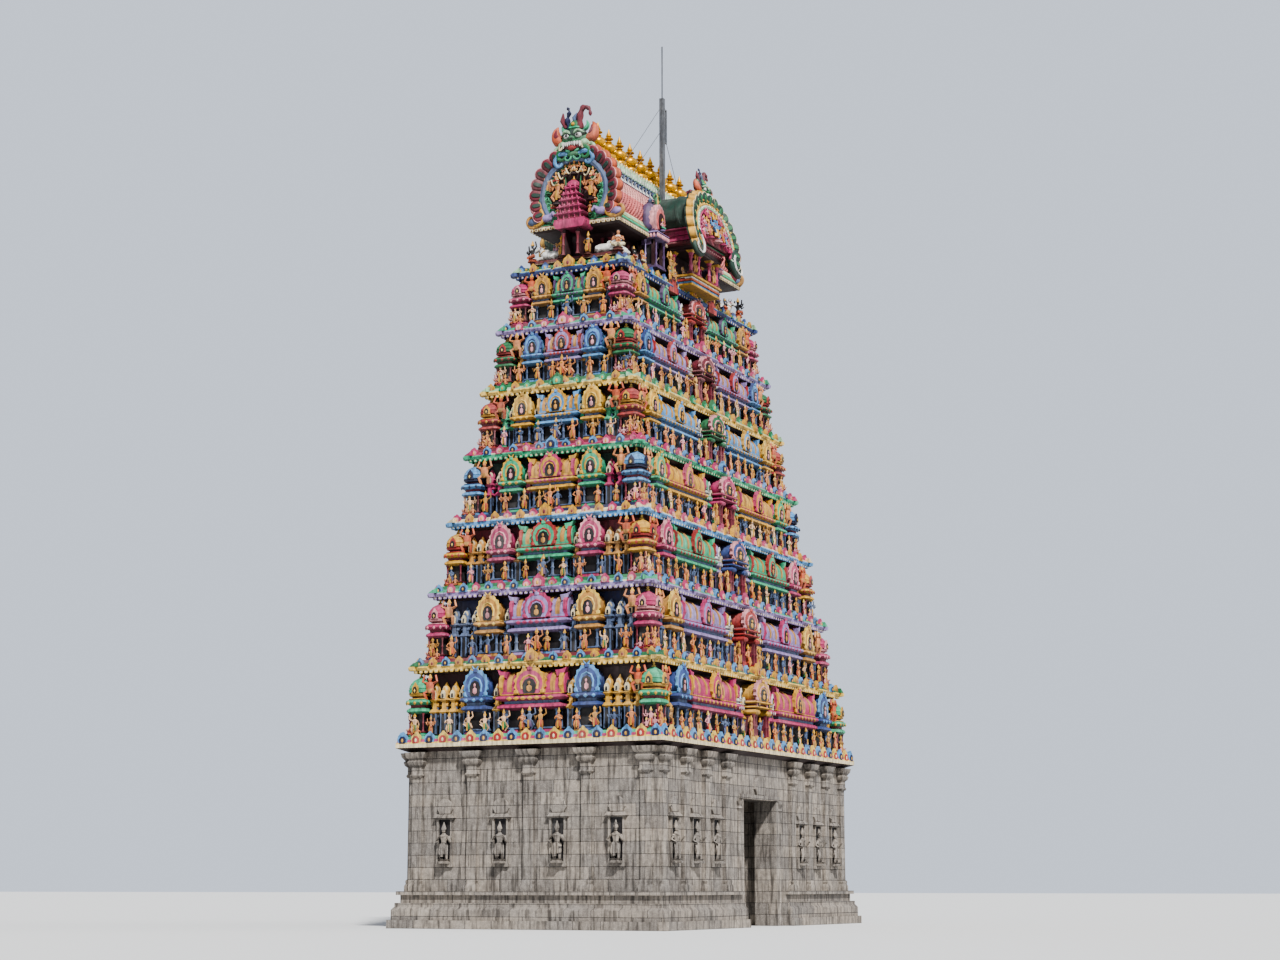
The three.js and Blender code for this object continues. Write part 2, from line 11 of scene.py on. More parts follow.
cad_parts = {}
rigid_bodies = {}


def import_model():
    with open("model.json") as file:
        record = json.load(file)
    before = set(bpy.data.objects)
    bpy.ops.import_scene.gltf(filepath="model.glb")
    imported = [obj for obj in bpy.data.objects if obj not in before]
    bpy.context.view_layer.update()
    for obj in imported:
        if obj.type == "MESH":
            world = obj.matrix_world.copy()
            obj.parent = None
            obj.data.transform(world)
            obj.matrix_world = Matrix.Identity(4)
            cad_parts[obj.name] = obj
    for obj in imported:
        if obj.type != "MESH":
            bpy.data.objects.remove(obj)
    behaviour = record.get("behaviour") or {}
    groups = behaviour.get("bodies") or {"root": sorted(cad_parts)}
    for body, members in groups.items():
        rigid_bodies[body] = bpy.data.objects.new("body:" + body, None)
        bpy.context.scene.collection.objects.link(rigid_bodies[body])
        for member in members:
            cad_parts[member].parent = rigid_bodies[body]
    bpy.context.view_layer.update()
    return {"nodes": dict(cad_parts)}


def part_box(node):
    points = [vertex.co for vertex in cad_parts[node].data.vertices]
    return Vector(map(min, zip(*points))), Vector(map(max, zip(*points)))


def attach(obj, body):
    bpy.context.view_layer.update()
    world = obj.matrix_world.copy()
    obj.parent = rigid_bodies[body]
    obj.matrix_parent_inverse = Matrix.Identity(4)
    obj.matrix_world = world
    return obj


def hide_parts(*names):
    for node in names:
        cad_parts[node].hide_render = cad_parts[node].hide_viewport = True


bl_info = {
    "name": "Temple gateway tower",
    "version": (1, 0, 0),
    "blender": (4, 5, 0),
    "location": "View3D > Sidebar > Tower",
    "description": "Stucco shrines, figures, roof tiles and finials for a stepped temple gateway",
    "category": "Add Mesh",
}

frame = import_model()
STOREYS, FINIALS = 7, 9
RISE = 1.92  # height of a storey between cornices at which the patterns are drawn
FRONT, RIGHT, BACK, LEFT = 0.0, math.pi / 2, math.pi, -math.pi / 2
SHARP_FROM = math.radians(42)
PHOTO_EYE, LOOKED_AT = Vector((-82.695, -41.043, 1.6)), Vector((0, 0, 18.6))

EAVE_LOW, EAVE_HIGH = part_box("eave_cornice")
EAVE_X, EAVE_Y = EAVE_HIGH.x, EAVE_HIGH.y
EAVE_Z = EAVE_LOW.z + 0.2
RIDGE_LOW, RIDGE_HIGH = (corner.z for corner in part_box("ridge_band"))
ROOF_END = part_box("roof_vault")[1].x
LEDGE_X, LEDGE_Y, LEDGE_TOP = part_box("neck_ledge")[1]
NECK_X, NECK_Y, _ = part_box("neck_wall")[1]


# Paints and sizes
def rgb(red, green, blue):
    """A colour as shown on screen, from 0 to 255, as linear light"""
    shares = [channel / 255 for channel in (red, green, blue)]
    return tuple(s / 12.92 if s <= 0.04045 else ((s + 0.055) / 1.055) ** 2.4 for s in shares)


def paint(name, description, *screen):
    return bpy.props.FloatVectorProperty(
        name=name, description=description, default=rgb(*screen), size=3, subtype="COLOR", min=0, max=1)


def length(name, description, default, least):
    return bpy.props.FloatProperty(
        name=name, description=description, default=default, min=least, unit="LENGTH")


class TowerPaints(bpy.types.PropertyGroup):
    """Colours of the stucco, the metal and the stone"""

    rose: paint("Rose", "Corner domes, mouldings and the mini shrines", 178, 58, 102)
    blush: paint("Blush", "Petal edges, lattice rims and lotus bands", 216, 150, 154)
    red: paint("Red", "Pediments and garments", 166, 52, 48)
    wine: paint("Wine", "Gable petals and panels", 112, 34, 48)
    maroon: paint("Maroon", "Neck and recessed walls", 52, 16, 24)
    # Near-black: in niches, cores behind columns and the top storey's walls it is painted shade; on eyes and
    # dark-skinned figures it is their own colour
    dark: paint("Dark", "Deep niches and doorways", 20, 15, 20)
    orange: paint("Orange", "Bearers and the gable's ribs", 190, 92, 58)
    ochre: paint("Ochre", "Small arched shrines and scrolls", 184, 134, 70)
    gold: paint("Gold", "Arch rims, crowns and jewels", 206, 156, 60)
    yellow: paint("Yellow", "Cornice edges and pediments", 222, 186, 96)
    cream: paint("Cream", "Lips, swags and lotus seats", 218, 202, 164)
    white: paint("White", "Bulls, beads and highlights", 224, 221, 214)
    mint: paint("Mint", "Long shrine roofs", 66, 168, 124)
    pale_green: paint("Pale green", "Lotus slope of the ridge and the eave's band", 156, 194, 154)
    green: paint("Green", "Foliage and garments", 38, 112, 68)
    deep_green: paint("Deep green", "Dormer roofs and petals", 22, 58, 46)
    sky: paint("Sky blue", "Cornice arches and garments", 96, 150, 196)
    blue: paint("Blue", "Cornice edges", 56, 76, 132)
    navy: paint("Navy", "Mask horns and linings", 28, 34, 72)
    slate: paint("Slate blue", "Gable ring and colonettes", 84, 100, 130)
    lavender: paint("Lavender", "Niches and cornice edges", 150, 130, 176)
    purple: paint("Purple", "Niche domes", 84, 60, 98)
    skin: paint("Skin", "Figures", 204, 134, 86)
    pale_skin: paint("Pale skin", "Figures in fairer stucco", 224, 182, 144)
    brown: paint("Brown", "Neck ledge and tile joints", 104, 54, 44)
    tile: paint("Tile", "Roof lattice, lower rows", 212, 112, 108)
    pale_tile: paint("Pale tile", "Roof lattice, upper rows", 228, 160, 152)
    gilt: paint("Gilt", "Gilded copper finials", 214, 158, 44)
    steel: paint("Steel", "Mast and its stays", 104, 106, 110)
    pale_granite: paint("Pale granite", "Lightest blocks of the gateway storey", 149, 138, 125)
    dark_granite: paint("Dark granite", "Darkest blocks of the gateway storey", 115, 108, 101)
    # Dark brown for rain stains, mould and mortar joints, and also the painted shade on what faces down
    grime: paint("Grime", "Rain streaks and mould", 42, 36, 32)
    floor: paint("Floor", "Studio floor", 214, 213, 210)


class TowerSizes(bpy.types.PropertyGroup):
    """Sizes of what repeats on the tower"""

    tile_width: length("Tile width", "Width of a roof tile", 0.235, 0.1)
    tile_height: length("Tile height", "Height of a roof tile's row", 0.124, 0.05)
    figure_height: length("Figure height", "Standing figure", 0.94, 0.2)
    figure_pitch: length("Figure pitch", "Spacing of standing figures", 0.82, 0.3)
    kudu_pitch: length("Kudu pitch", "Spacing of the small arches on a cornice", 0.58, 0.2)
    colonette_pitch: length("Colonette pitch", "Spacing of the slim wall columns", 0.36, 0.2)
    finial_petals: bpy.props.IntProperty(
        name="Finial petals", description="Petals round a finial's seat", default=14, min=6, max=24)
    lens: bpy.props.FloatProperty(
        name="Lens", description="Camera lens", default=62.0, min=10, unit="CAMERA")


def sizes():
    return bpy.context.scene.tower_sizes


# Node trees
class Graph:
    """Adds nodes to a tree. An input given as a node or socket is linked, and a value is set."""

    def __init__(self, tree):
        self.tree = tree
        tree.nodes.clear()

    def add(self, kind, inputs=None, **settings):
        node = self.tree.nodes.new(kind)
        for name, value in settings.items():
            setattr(node, name, value)
        for key, value in (inputs or {}).items():
            if isinstance(value, bpy.types.Node):
                value = value.outputs[0]
            if isinstance(value, bpy.types.NodeSocket):
                self.tree.links.new(value, node.inputs[key])
            else:
                node.inputs[key].default_value = value
        return node

    def math(self, operation, *values):
        return self.add("ShaderNodeMath", dict(enumerate(values)), operation=operation).outputs[0]

    def blend(self, share, first, second):
        return self.add("ShaderNodeMix", {0: share, 6: first, 7: second}, data_type="RGBA").outputs[2]

    def steps(self, value, low, high, start=0.0, end=1.0):
        return self.add("ShaderNodeMapRange", {0: value, 1: low, 2: high, 3: start, 4: end}).outputs[0]

    def noise(self, place, scale, detail):
        return self.add("ShaderNodeTexNoise", {"Vector": place, "Scale": scale, "Detail": detail})

    def place(self):
        return self.add("ShaderNodeTexCoord").outputs["Object"]

    def axes(self, vector):
        return self.add("ShaderNodeSeparateXYZ", {0: vector}).outputs

    def vector(self, x, y, z):
        return self.add("ShaderNodeCombineXYZ", {0: x, 1: y, 2: z})

    def attribute(self, name, kind):
        return self.add("GeometryNodeInputNamedAttribute", {"Name": name}, data_type=kind)


SOCKETS = {float: "NodeSocketFloat", int: "NodeSocketInt", tuple: "NodeSocketColor"}


def new_tree(name, kind, inputs, outputs):
    """A tree with named sockets. An input is given by its first value, or else by its kind."""
    tree = bpy.data.node_groups.new(name, kind)
    for title, first in inputs.items():
        socket_kind = SOCKETS.get(type(first), first)
        socket = tree.interface.new_socket(title, in_out="INPUT", socket_type=socket_kind)
        if socket_kind != first:
            socket.default_value = first
    for title, socket_kind in outputs.items():
        tree.interface.new_socket(title, in_out="OUTPUT", socket_type=socket_kind)
    g = Graph(tree)
    return tree, g, g.add("NodeGroupInput").outputs


# Finishes
def weathering():
    """Faded paint with mottling, stains run down by rain, mould on what faces up, painted shade on what
    faces down, and fine grain
    """
    name = "Weathered surface"
    if name in bpy.data.node_groups:
        return bpy.data.node_groups[name]
    # The dark colour and the amount for rain stains also set the painted shade on what faces down
    inputs = {"Paint": (0.5, 0.5, 0.5, 1.0), "Grime": (0.03, 0.02, 0.02, 1.0), "Fading": 0.16,
              "Streaks": 0.55, "Mould": 0.4, "Grain": 60.0, "Sheen loss": 0.55}
    outputs = {"Color": "NodeSocketColor", "Roughness": "NodeSocketFloat", "Height": "NodeSocketFloat"}
    tree, g, given = new_tree(name, "ShaderNodeTree", inputs, outputs)
    place = g.place()
    broad = g.noise(place, 0.9, 4.0)
    mottle = g.noise(place, 7.0, 5.0)
    grain = g.noise(place, given["Grain"], 3.0)
    streak = g.noise(g.add("ShaderNodeMapping", {"Vector": place, "Scale": (5.0, 5.0, 0.55)}), 1.6, 6.0)
    up = g.axes(g.add("ShaderNodeNewGeometry").outputs["Normal"])[2]
    bleached = g.blend(0.5, given["Paint"], (0.85, 0.82, 0.76, 1))
    fade = g.math("MULTIPLY", g.steps(broad, 0.42, 0.68), given["Fading"])
    lively = g.add("ShaderNodeHueSaturation", {
        "Color": g.blend(fade, given["Paint"], bleached), "Value": g.steps(mottle, 0.3, 0.7, 0.72, 1.16)})
    wash = g.math("MULTIPLY", g.steps(streak, 0.46, 0.68), given["Streaks"])
    patch = g.math("MULTIPLY", g.steps(up, 0.35, 0.95), g.steps(mottle, 0.4, 0.62))
    mould = g.math("MULTIPLY", patch, given["Mould"])
    # Painted shade: what faces down is darkened as much as the rain stains, as if shaded by overhangs
    painted_underside_shade = g.math("MULTIPLY", g.steps(up, -0.2, -0.9), given["Streaks"])
    colour = lively
    for darkening in (wash, mould, painted_underside_shade):
        colour = g.blend(darkening, colour, given["Grime"])
    rough = g.math("ADD", given["Sheen loss"], g.math("MULTIPLY", mottle, 0.22))
    relief = g.math("ADD", g.math("MULTIPLY", grain, 0.5), g.math("MULTIPLY", mottle, 0.5))
    g.add("NodeGroupOutput", {"Color": colour, "Roughness": rough, "Height": relief})
    return tree


def colour_of(name):
    return (*getattr(bpy.context.scene.tower_paints, name), 1.0)


def finish(name, colour, depth=0.35, metal=0.0, **weather):
    """A weathered material, made once. Its colour is a paint's name, or a function of the graph that
    gives the colour and the joints to take off its relief."""
    if name in bpy.data.materials:
        return bpy.data.materials[name]
    material = bpy.data.materials.new(name)
    material.use_nodes = True
    g = Graph(material.node_tree)
    tint, joints = (colour_of(colour), None) if isinstance(colour, str) else colour(g)
    inputs = {key.capitalize().replace("_", " "): value for key, value in weather.items()}
    inputs.update({"Paint": tint, "Grime": colour_of("grime")})
    weathered = g.add("ShaderNodeGroup", inputs, node_tree=weathering()).outputs
    relief = g.math("SUBTRACT", weathered["Height"], joints) if joints else weathered["Height"]
    bump = g.add("ShaderNodeBump", {"Strength": depth, "Distance": 0.02, "Height": relief})
    shader = g.add("ShaderNodeBsdfPrincipled", {
        "Base Color": weathered["Color"], "Roughness": weathered["Roughness"], "Metallic": metal,
        "Normal": bump})
    g.add("ShaderNodeOutputMaterial", {"Surface": shader})
    return material


def gilding():
    """Gilded copper, bright with brown tarnish in patches"""
    return finish("gilded copper", "gilt", 0.12, 0.6, fading=0.0, streaks=0.35, mould=0.15, sheen_loss=0.26)


def painted_steel():
    return finish("painted steel", "steel", 0.15, 0.35, fading=0.2, streaks=0.5, sheen_loss=0.35)


def granite_courses():
    """Dressed granite in courses: joints, speckle and a tone of its own for each block"""
    def courses(g):
        place = g.place()
        x, y, z = g.axes(place)
        stone = g.add("ShaderNodeTexBrick", {
            "Vector": g.vector(g.math("ADD", x, y), z, 0.0), "Color1": colour_of("pale_granite"),
            "Color2": colour_of("dark_granite"), "Mortar": colour_of("grime"), "Scale": 1.0,
            "Mortar Size": 0.012, "Bias": 0.0, "Brick Width": 1.15, "Row Height": 0.46}).outputs
        speckle = g.add("ShaderNodeTexVoronoi", {"Vector": place, "Scale": 42.0})
        dotted = g.blend(g.steps(speckle, 0.1, 0.5, 0.35, 0.0), stone["Color"], (0.75, 0.7, 0.64, 1))
        return dotted, g.math("MULTIPLY", stone["Fac"], 1.5)
    return finish("coursed granite", courses, 0.6, fading=0.12, streaks=0.75, mould=0.5, sheen_loss=0.68)


def banded(name, bands, low, high):
    """Stucco painted in level bands: each is [share of the height where it ends, paint]"""
    def ramp(g):
        share = g.steps(g.axes(g.place())[2], low, high)
        node = g.add("ShaderNodeValToRGB", {0: share})
        node.color_ramp.interpolation = "CONSTANT"
        stops = node.color_ramp.elements
        start = 0.0
        for i, (end, colour) in enumerate(bands):
            stop = stops[i] if i < 2 else stops.new(start)
            stop.position = start
            stop.color = colour_of(colour)
            start = end
        return node.outputs["Color"], None
    return finish(name, ramp)


METALS_AND_STONE = {"gilt": gilding, "steel": painted_steel, "granite": granite_courses}


def material_of(name):
    """Painted lime stucco in one of the tower's paints, or else metal or stone"""
    if name in METALS_AND_STONE:
        return METALS_AND_STONE[name]()
    return finish(f"stucco {name}", name)


# Shapes
class Shape:
    """Points and faces, each face with the name of its paint"""

    def __init__(self):
        self.points = np.zeros((0, 3))
        self.corners = np.zeros(0, int)
        self.sides = np.zeros(0, int)
        self.paint = np.zeros(0, dtype="U12")

    def grow(self, points, corners, sides, paint):
        self.corners = np.concatenate([self.corners, corners + len(self.points)])
        self.points = np.concatenate([self.points, points])
        self.sides = np.concatenate([self.sides, sides])
        self.paint = np.concatenate([self.paint, paint])
        return self

    def add(self, points, faces, paint):
        sides = np.array([len(face) for face in faces])
        return self.grow(points, np.concatenate(faces), sides, np.full(len(faces), paint, "U12"))

    def put(self, other, place=None, swap=None):
        """Adds a copy of another shape, moved by a matrix, with some paints swapped"""
        points, corners, paint = other.points, other.corners, other.paint
        if place is not None:
            turn = np.array(place)
            points = points @ turn[:3, :3].T + turn[:3, 3]
            if np.linalg.det(turn[:3, :3]) < 0:
                corners = flipped(corners, other.sides)
        if swap:
            paint = np.array([swap.get(name, name) for name in paint], "U12")
        return self.grow(points, corners, other.sides, paint)

    def painted(self, swap):
        return Shape().put(self, None, swap)


def flipped(corners, sides):
    """The same faces, each with its corners in the other order"""
    first = np.repeat(np.cumsum(sides) - sides, sides)
    step = np.arange(len(corners)) - first
    return corners[first + np.repeat(sides, sides) - 1 - step]


def skin(rings, paint, cap_low=True, cap_high=True):
    """A skin over rings of equally many points, which run counterclockwise seen from the last"""
    rings = np.array(rings, float)
    count, around = rings.shape[:2]
    ids = np.arange(count * around).reshape(count, around)
    after = np.roll(ids, -1, axis=1)
    faces = list(np.stack([ids[:-1], after[:-1], after[1:], ids[1:]], axis=-1).reshape(-1, 4))
    if cap_low:
        faces.append(ids[0][::-1])
    if cap_high:
        faces.append(ids[-1])
    return Shape().add(rings.reshape(-1, 3), faces, paint)


def circle(radius, sides):
    angles = np.arange(sides) * 2 * np.pi / sides
    return np.stack([radius * np.cos(angles), radius * np.sin(angles), 0 * angles], axis=-1)


def turned(profile, sides, paint, x=0.0, y=0.0):
    """A turned shape about a vertical line, from [radius, z]"""
    return skin([circle(r, sides) + (x, y, z) for r, z in profile], paint)


def oval(sections, paint, sides, y=0.0, low=0.0):
    """A body with oval sections, each [z, half width, half depth]"""
    return skin([circle(1, sides) * (a, b, 1) + (0, y, z + low) for z, a, b in sections], paint)


def rectangle(half_x, half_y, cut=0.0):
    """Corners of a rectangle, counterclockwise, each cut off if asked"""
    if not cut:
        return [(half_x, -half_y), (half_x, half_y), (-half_x, half_y), (-half_x, -half_y)]
    short_x, short_y = half_x - cut, half_y - cut
    return [(half_x, -short_y), (half_x, short_y), (short_x, half_y), (-short_x, half_y),
            (-half_x, short_y), (-half_x, -short_y), (-short_x, -half_y), (short_x, -half_y)]


def stacked(sections, paint, x=0.0, y=0.0, chamfer=0.0):
    """Rectangular sections, each [z, half size in X, half size in Y], with cut corners if asked"""
    return skin([[(x + u, y + v, z) for u, v in rectangle(a, b, chamfer * min(a, b))]
                 for z, a, b in sections], paint)


def moulded(half_x, half_y, profile, paint, x=0.0, y=0.0, chamfer=0.0):
    """A moulding round a rectangle, from a profile of z and how far it stands out"""
    return stacked([(z, half_x + out, half_y + out) for z, out in profile], paint, x, y, chamfer)


def block(x0, x1, y0, y1, z0, z1, paint):
    half_x, half_y = (x1 - x0) / 2, (y1 - y0) / 2
    return stacked([(z0, half_x, half_y), (z1, half_x, half_y)], paint, x0 + half_x, y0 + half_y)


def dome(sections, paint):
    """Rounded squares, each [z, half size], one over the other"""
    turns = (np.arange(12) + 0.5) * math.pi / 6
    across, along = np.cos(turns), np.sin(turns)
    bulge = (across ** 4 + along ** 4) ** -0.25
    ring = np.stack([across * bulge, along * bulge, 0 * turns], axis=-1)
    return skin([ring * half + (0, 0, z) for z, half in sections], paint)


def slab(outline, front, back, paint, edge=0.0):
    """An outline in X and Z, counterclockwise seen from the front at -Y, given its thickness"""
    outline = np.array(outline, float)
    rings = [np.insert(outline, 1, back, axis=1), np.insert(outline, 1, front + edge, axis=1)]
    if edge:
        middle = outline.mean(axis=0)
        reach = np.linalg.norm(outline - middle, axis=1, keepdims=True)
        inner = middle + (outline - middle) * np.maximum(0.2, 1 - edge / np.maximum(reach, 1e-6))
        rings.append(np.insert(inner, 1, front, axis=1))
    return skin(rings, paint)


def bar(outline, left, right, paint):
    """An outline in Y and Z, counterclockwise seen from +X, run along X"""
    return skin([np.insert(np.array(outline, float), 0, x, axis=1) for x in (left, right)], paint)


def tube(path, radii, sides, paint, squash=1.0):
    """A round limb along a path, with a radius for each of its points"""
    path = np.array(path, float)
    radii = np.broadcast_to(radii, len(path))
    rings = []
    side = None
    for point, direction, radius in zip(path, np.gradient(path, axis=0), radii):
        direction = direction / np.linalg.norm(direction)
        if side is None:
            side = np.cross((0, 1, 0) if abs(direction[1]) < 0.8 else (1, 0, 0), direction)
        side = side - direction * side.dot(direction)
        side /= np.linalg.norm(side)
        other = np.cross(direction, side)
        ring = circle(radius, sides)
        rings.append(point + np.outer(ring[:, 0], side) + np.outer(ring[:, 1] * squash, other))
    return skin(rings, paint)


def limb(path, thick, thin, paint, sides):
    return tube(path, np.linspace(thick, thin, len(path)), sides, paint)


def ball(middle, radii, paint, sides, rings):
    """An oval ball whose poles are small flats"""
    pole = np.pi / 2 - 0.12
    angles = np.array([-pole, *np.linspace(-np.pi / 2, np.pi / 2, rings + 2)[1:-1], pole])
    layers = [circle(np.cos(a), sides) + (0, 0, np.sin(a)) for a in angles]
    return skin([layer * radii + middle for layer in layers], paint)


def arc(half_width, half_height, first, last, count, middle=0.0):
    """Points on an oval about [0, middle], between two angles in degrees"""
    angles = np.radians(np.linspace(first, last, count))
    return np.stack([half_width * np.cos(angles), middle + half_height * np.sin(angles)], axis=-1)


def smooth_line(points, count):
    """A smooth curve through a few points"""
    points = np.array(points, float)
    ends = np.array([2 * points[0] - points[1], *points, 2 * points[-1] - points[-2]])
    result = []
    for t in np.linspace(0, len(points) - 1, count):
        i = min(int(t), len(points) - 2)
        u = t - i
        a, b, c, d = ends[i:i + 4]
        result.append(0.5 * (2 * b + (c - a) * u + (2 * a - 5 * b + 4 * c - d) * u ** 2
                             + (3 * b - a - 3 * c + d) * u ** 3))
    return np.array(result)


def spin(turn):
    return Matrix.Rotation(turn, 4, "Z")


def moved(x=0.0, y=0.0, z=0.0, size=1.0, turn=0.0, lean=0.0):
    """A matrix that scales by one or three sizes, leans about X, turns about Z and then moves"""
    scale = Matrix.Diagonal((*np.broadcast_to(size, 3), 1))
    return Matrix.Translation((x, y, z)) @ spin(turn) @ Matrix.Rotation(lean, 4, "X") @ scale


def placed(turn, along, away, z=0.0, size=1.0, twist=0.0):
    """A matrix that sets a shape on a side: along it, away from the middle, and up"""
    return spin(turn) @ moved(along, -away, z, size, twist)


# Pieces
def add_object(name, data):
    thing = bpy.data.objects.new(name, data)
    bpy.context.scene.collection.objects.link(thing)
    return thing


def to_mesh(name, shape, roles=None):
    """A mesh from a shape: painted, or with its paints kept as numbers in an attribute"""
    mesh = bpy.data.meshes.new(name)
    mesh.vertices.add(len(shape.points))
    mesh.vertices.foreach_set("co", shape.points.astype(np.float32).ravel())
    mesh.loops.add(len(shape.corners))
    mesh.loops.foreach_set("vertex_index", shape.corners.astype(np.int32))
    mesh.polygons.add(len(shape.sides))
    starts = (np.cumsum(shape.sides) - shape.sides).astype(np.int32)
    mesh.polygons.foreach_set("loop_start", starts)
    used = roles or sorted(set(shape.paint.tolist()))
    index = np.array([used.index(name) for name in shape.paint], np.int32)
    mesh.update(calc_edges=True)
    if roles:
        mesh.attributes.new("role", "INT", "FACE").data.foreach_set("value", index)
    else:
        for name in used:
            mesh.materials.append(material_of(name))
        mesh.polygons.foreach_set("material_index", index)
    mesh.polygons.foreach_set("use_smooth", np.ones(len(shape.sides), bool))
    mesh.set_sharp_from_angle(angle=SHARP_FROM)
    mesh.validate()
    return mesh


def show(name, mesh, slot, *replaced):
    """A finished piece that stands with the tower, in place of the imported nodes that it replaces"""
    piece = add_object(name, mesh)
    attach(piece, "root")
    if replaced:
        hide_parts(*replaced)


def piece_of(name, shape, slot, *replaced):
    show(name, to_mesh(name, shape), slot, *replaced)


def turned_copy(mesh, angle):
    copy = mesh.copy()
    copy.transform(spin(angle))
    return copy


def dress(node, material):
    """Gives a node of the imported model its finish"""
    mesh = frame["nodes"][node].data
    mesh.materials.clear()
    mesh.materials.append(material)


# Geometry Nodes trees for what repeats
# In shrines, turrets and arches the deep role fills niches and cores with near-black painted shade; on
# figures it is hair, on petals their back
ROLES = ["body", "trim", "roof", "rim", "deep", "jewel"]
SHAPE_SOCKET, OBJECT_SOCKET, SET_SOCKET = "NodeSocketGeometry", "NodeSocketObject", "NodeSocketCollection"


def tints(body, trim, roof, jewel="gold", rim="gold", deep="dark"):
    """The paint for each role of a pattern; deep, near-black unless given, is painted shade in niches and
    cores
    """
    return {"body": body, "trim": trim, "roof": roof, "rim": rim, "deep": deep, "jewel": jewel}


def pattern_tree(name, inputs, lay_out):
    """A tree, made once, that lays out copies of patterns, with each role in its own material"""
    if name in bpy.data.node_groups:
        return bpy.data.node_groups[name]
    roles = {role.capitalize(): "NodeSocketMaterial" for role in ROLES}
    tree, g, given = new_tree(name, "GeometryNodeTree", {**inputs, **roles}, {"Geometry": SHAPE_SOCKET})
    spots, pattern, turn, scale, more = lay_out(g, given)
    copies = g.add("GeometryNodeInstanceOnPoints", {
        "Points": spots, "Instance": pattern, "Scale": scale,
        "Rotation": g.add("FunctionNodeEulerToRotation", {0: turn}), **more})
    result = g.add("GeometryNodeRealizeInstances", {0: copies})
    for number, role in enumerate(roles):
        same = g.add("FunctionNodeCompare", {2: g.attribute("role", "INT"), 3: number},
                     data_type="INT", operation="EQUAL")
        result = g.add("GeometryNodeSetMaterial", {
            "Geometry": result, "Selection": same, "Material": given[role]})
    g.add("NodeGroupOutput", {0: result})
    return tree


def copies_tree():
    """Copies of the patterns in a collection, on points that say their turn, stretch and pick"""
    def lay_out(g, given):
        patterns = g.add("GeometryNodeCollectionInfo", {
            "Collection": given["Patterns"], "Separate Children": True, "Reset Children": True})
        turn, stretch = (g.attribute(name, "FLOAT_VECTOR") for name in ("turn", "stretch"))
        more = {"Pick Instance": True, "Instance Index": g.attribute("pick", "INT")}
        return given["Places"], patterns, turn, stretch, more
    return pattern_tree("Copies on points", {"Places": SHAPE_SOCKET, "Patterns": SET_SOCKET}, lay_out)


def crown_tree():
    """Copies of a pattern round an oval arch, each pointing outwards and leaning forward"""
    def lay_out(g, given):
        line = g.add("GeometryNodeMeshLine", {"Count": given["Count"]})
        share = g.math("DIVIDE", g.add("GeometryNodeInputIndex").outputs[0],
                       g.math("SUBTRACT", given["Count"], 1.0))
        sweep = g.math("SUBTRACT", given["Last angle"], given["First angle"])
        angle = g.math("MULTIPLY_ADD", share, sweep, given["First angle"])
        x = g.math("MULTIPLY", g.math("COSINE", angle), given["Half width"])
        z = g.math("MULTIPLY_ADD", g.math("SINE", angle), given["Half height"], given["Middle"])
        spots = g.add("GeometryNodeSetPosition", {"Geometry": line, "Position": g.vector(x, 0.0, z)})
        outward = g.math("SUBTRACT", math.pi / 2, angle)
        pattern = g.add("GeometryNodeObjectInfo", {"Object": given["Pattern"]}).outputs["Geometry"]
        return spots, pattern, g.vector(given["Lean"], outward, 0.0), given["Size"], {}
    return pattern_tree("Crown of petals", {
        "Base": SHAPE_SOCKET, "Pattern": OBJECT_SOCKET, "Count": 9, "Half width": 1.0, "Half height": 1.0,
        "Middle": 1.0, "First angle": 1.0, "Last angle": 1.0, "Lean": 1.0, "Size": 1.0}, lay_out)


def tiles_tree():
    """Rows of tiles over a curved roof: a profile run along X, with every other row shifted"""
    def lay_out(g, given):
        rail = g.add("GeometryNodeMeshToCurve", {"Mesh": given["Profile"]})
        reach = g.add("GeometryNodeCurveLength", {0: rail}).outputs[0]
        rows = g.math("FLOOR", g.math("DIVIDE", reach, given["Tile height"]))
        columns = g.math("FLOOR", g.math("DIVIDE", given["Length"], given["Tile width"]))
        line = g.add("GeometryNodeMeshLine", {"Count": g.math("MULTIPLY", rows, columns)})
        order = g.add("GeometryNodeInputIndex").outputs[0]
        row = g.math("FLOOR", g.math("DIVIDE", order, columns))
        column = g.math("SUBTRACT", order, g.math("MULTIPLY", row, columns))
        shift = g.math("MULTIPLY", g.math("MODULO", row, 2.0), 0.5)
        across = g.math("SUBTRACT", g.math("ADD", column, shift), g.math("MULTIPLY", columns, 0.5))
        x = g.math("MULTIPLY", g.math("ADD", across, 0.25), given["Tile width"])
        run = g.math("MULTIPLY", g.math("ADD", row, 0.5), g.math("DIVIDE", reach, rows))
        spot = g.add("GeometryNodeSampleCurve", {"Curves": rail, "Length": run}, mode="LENGTH",
                     use_all_curves=True).outputs
        _, ahead, rise = g.axes(spot["Tangent"])
        _, y, z = g.axes(spot["Position"])
        spots = g.add("GeometryNodeSetPosition", {"Geometry": line, "Position": g.vector(x, y, z)})
        turn = g.vector(g.math("ARCTAN2", rise, ahead), 0.0, 0.0)
        size = g.vector(given["Tile width"], given["Tile height"], 1.0)
        pattern = g.add("GeometryNodeObjectInfo", {"Object": given["Pattern"]}).outputs["Geometry"]
        return spots, pattern, turn, size, {}
    return pattern_tree("Tiled roof", {
        "Profile": SHAPE_SOCKET, "Pattern": OBJECT_SOCKET, "Length": 10.0, "Tile width": 0.2,
        "Tile height": 0.2}, lay_out)


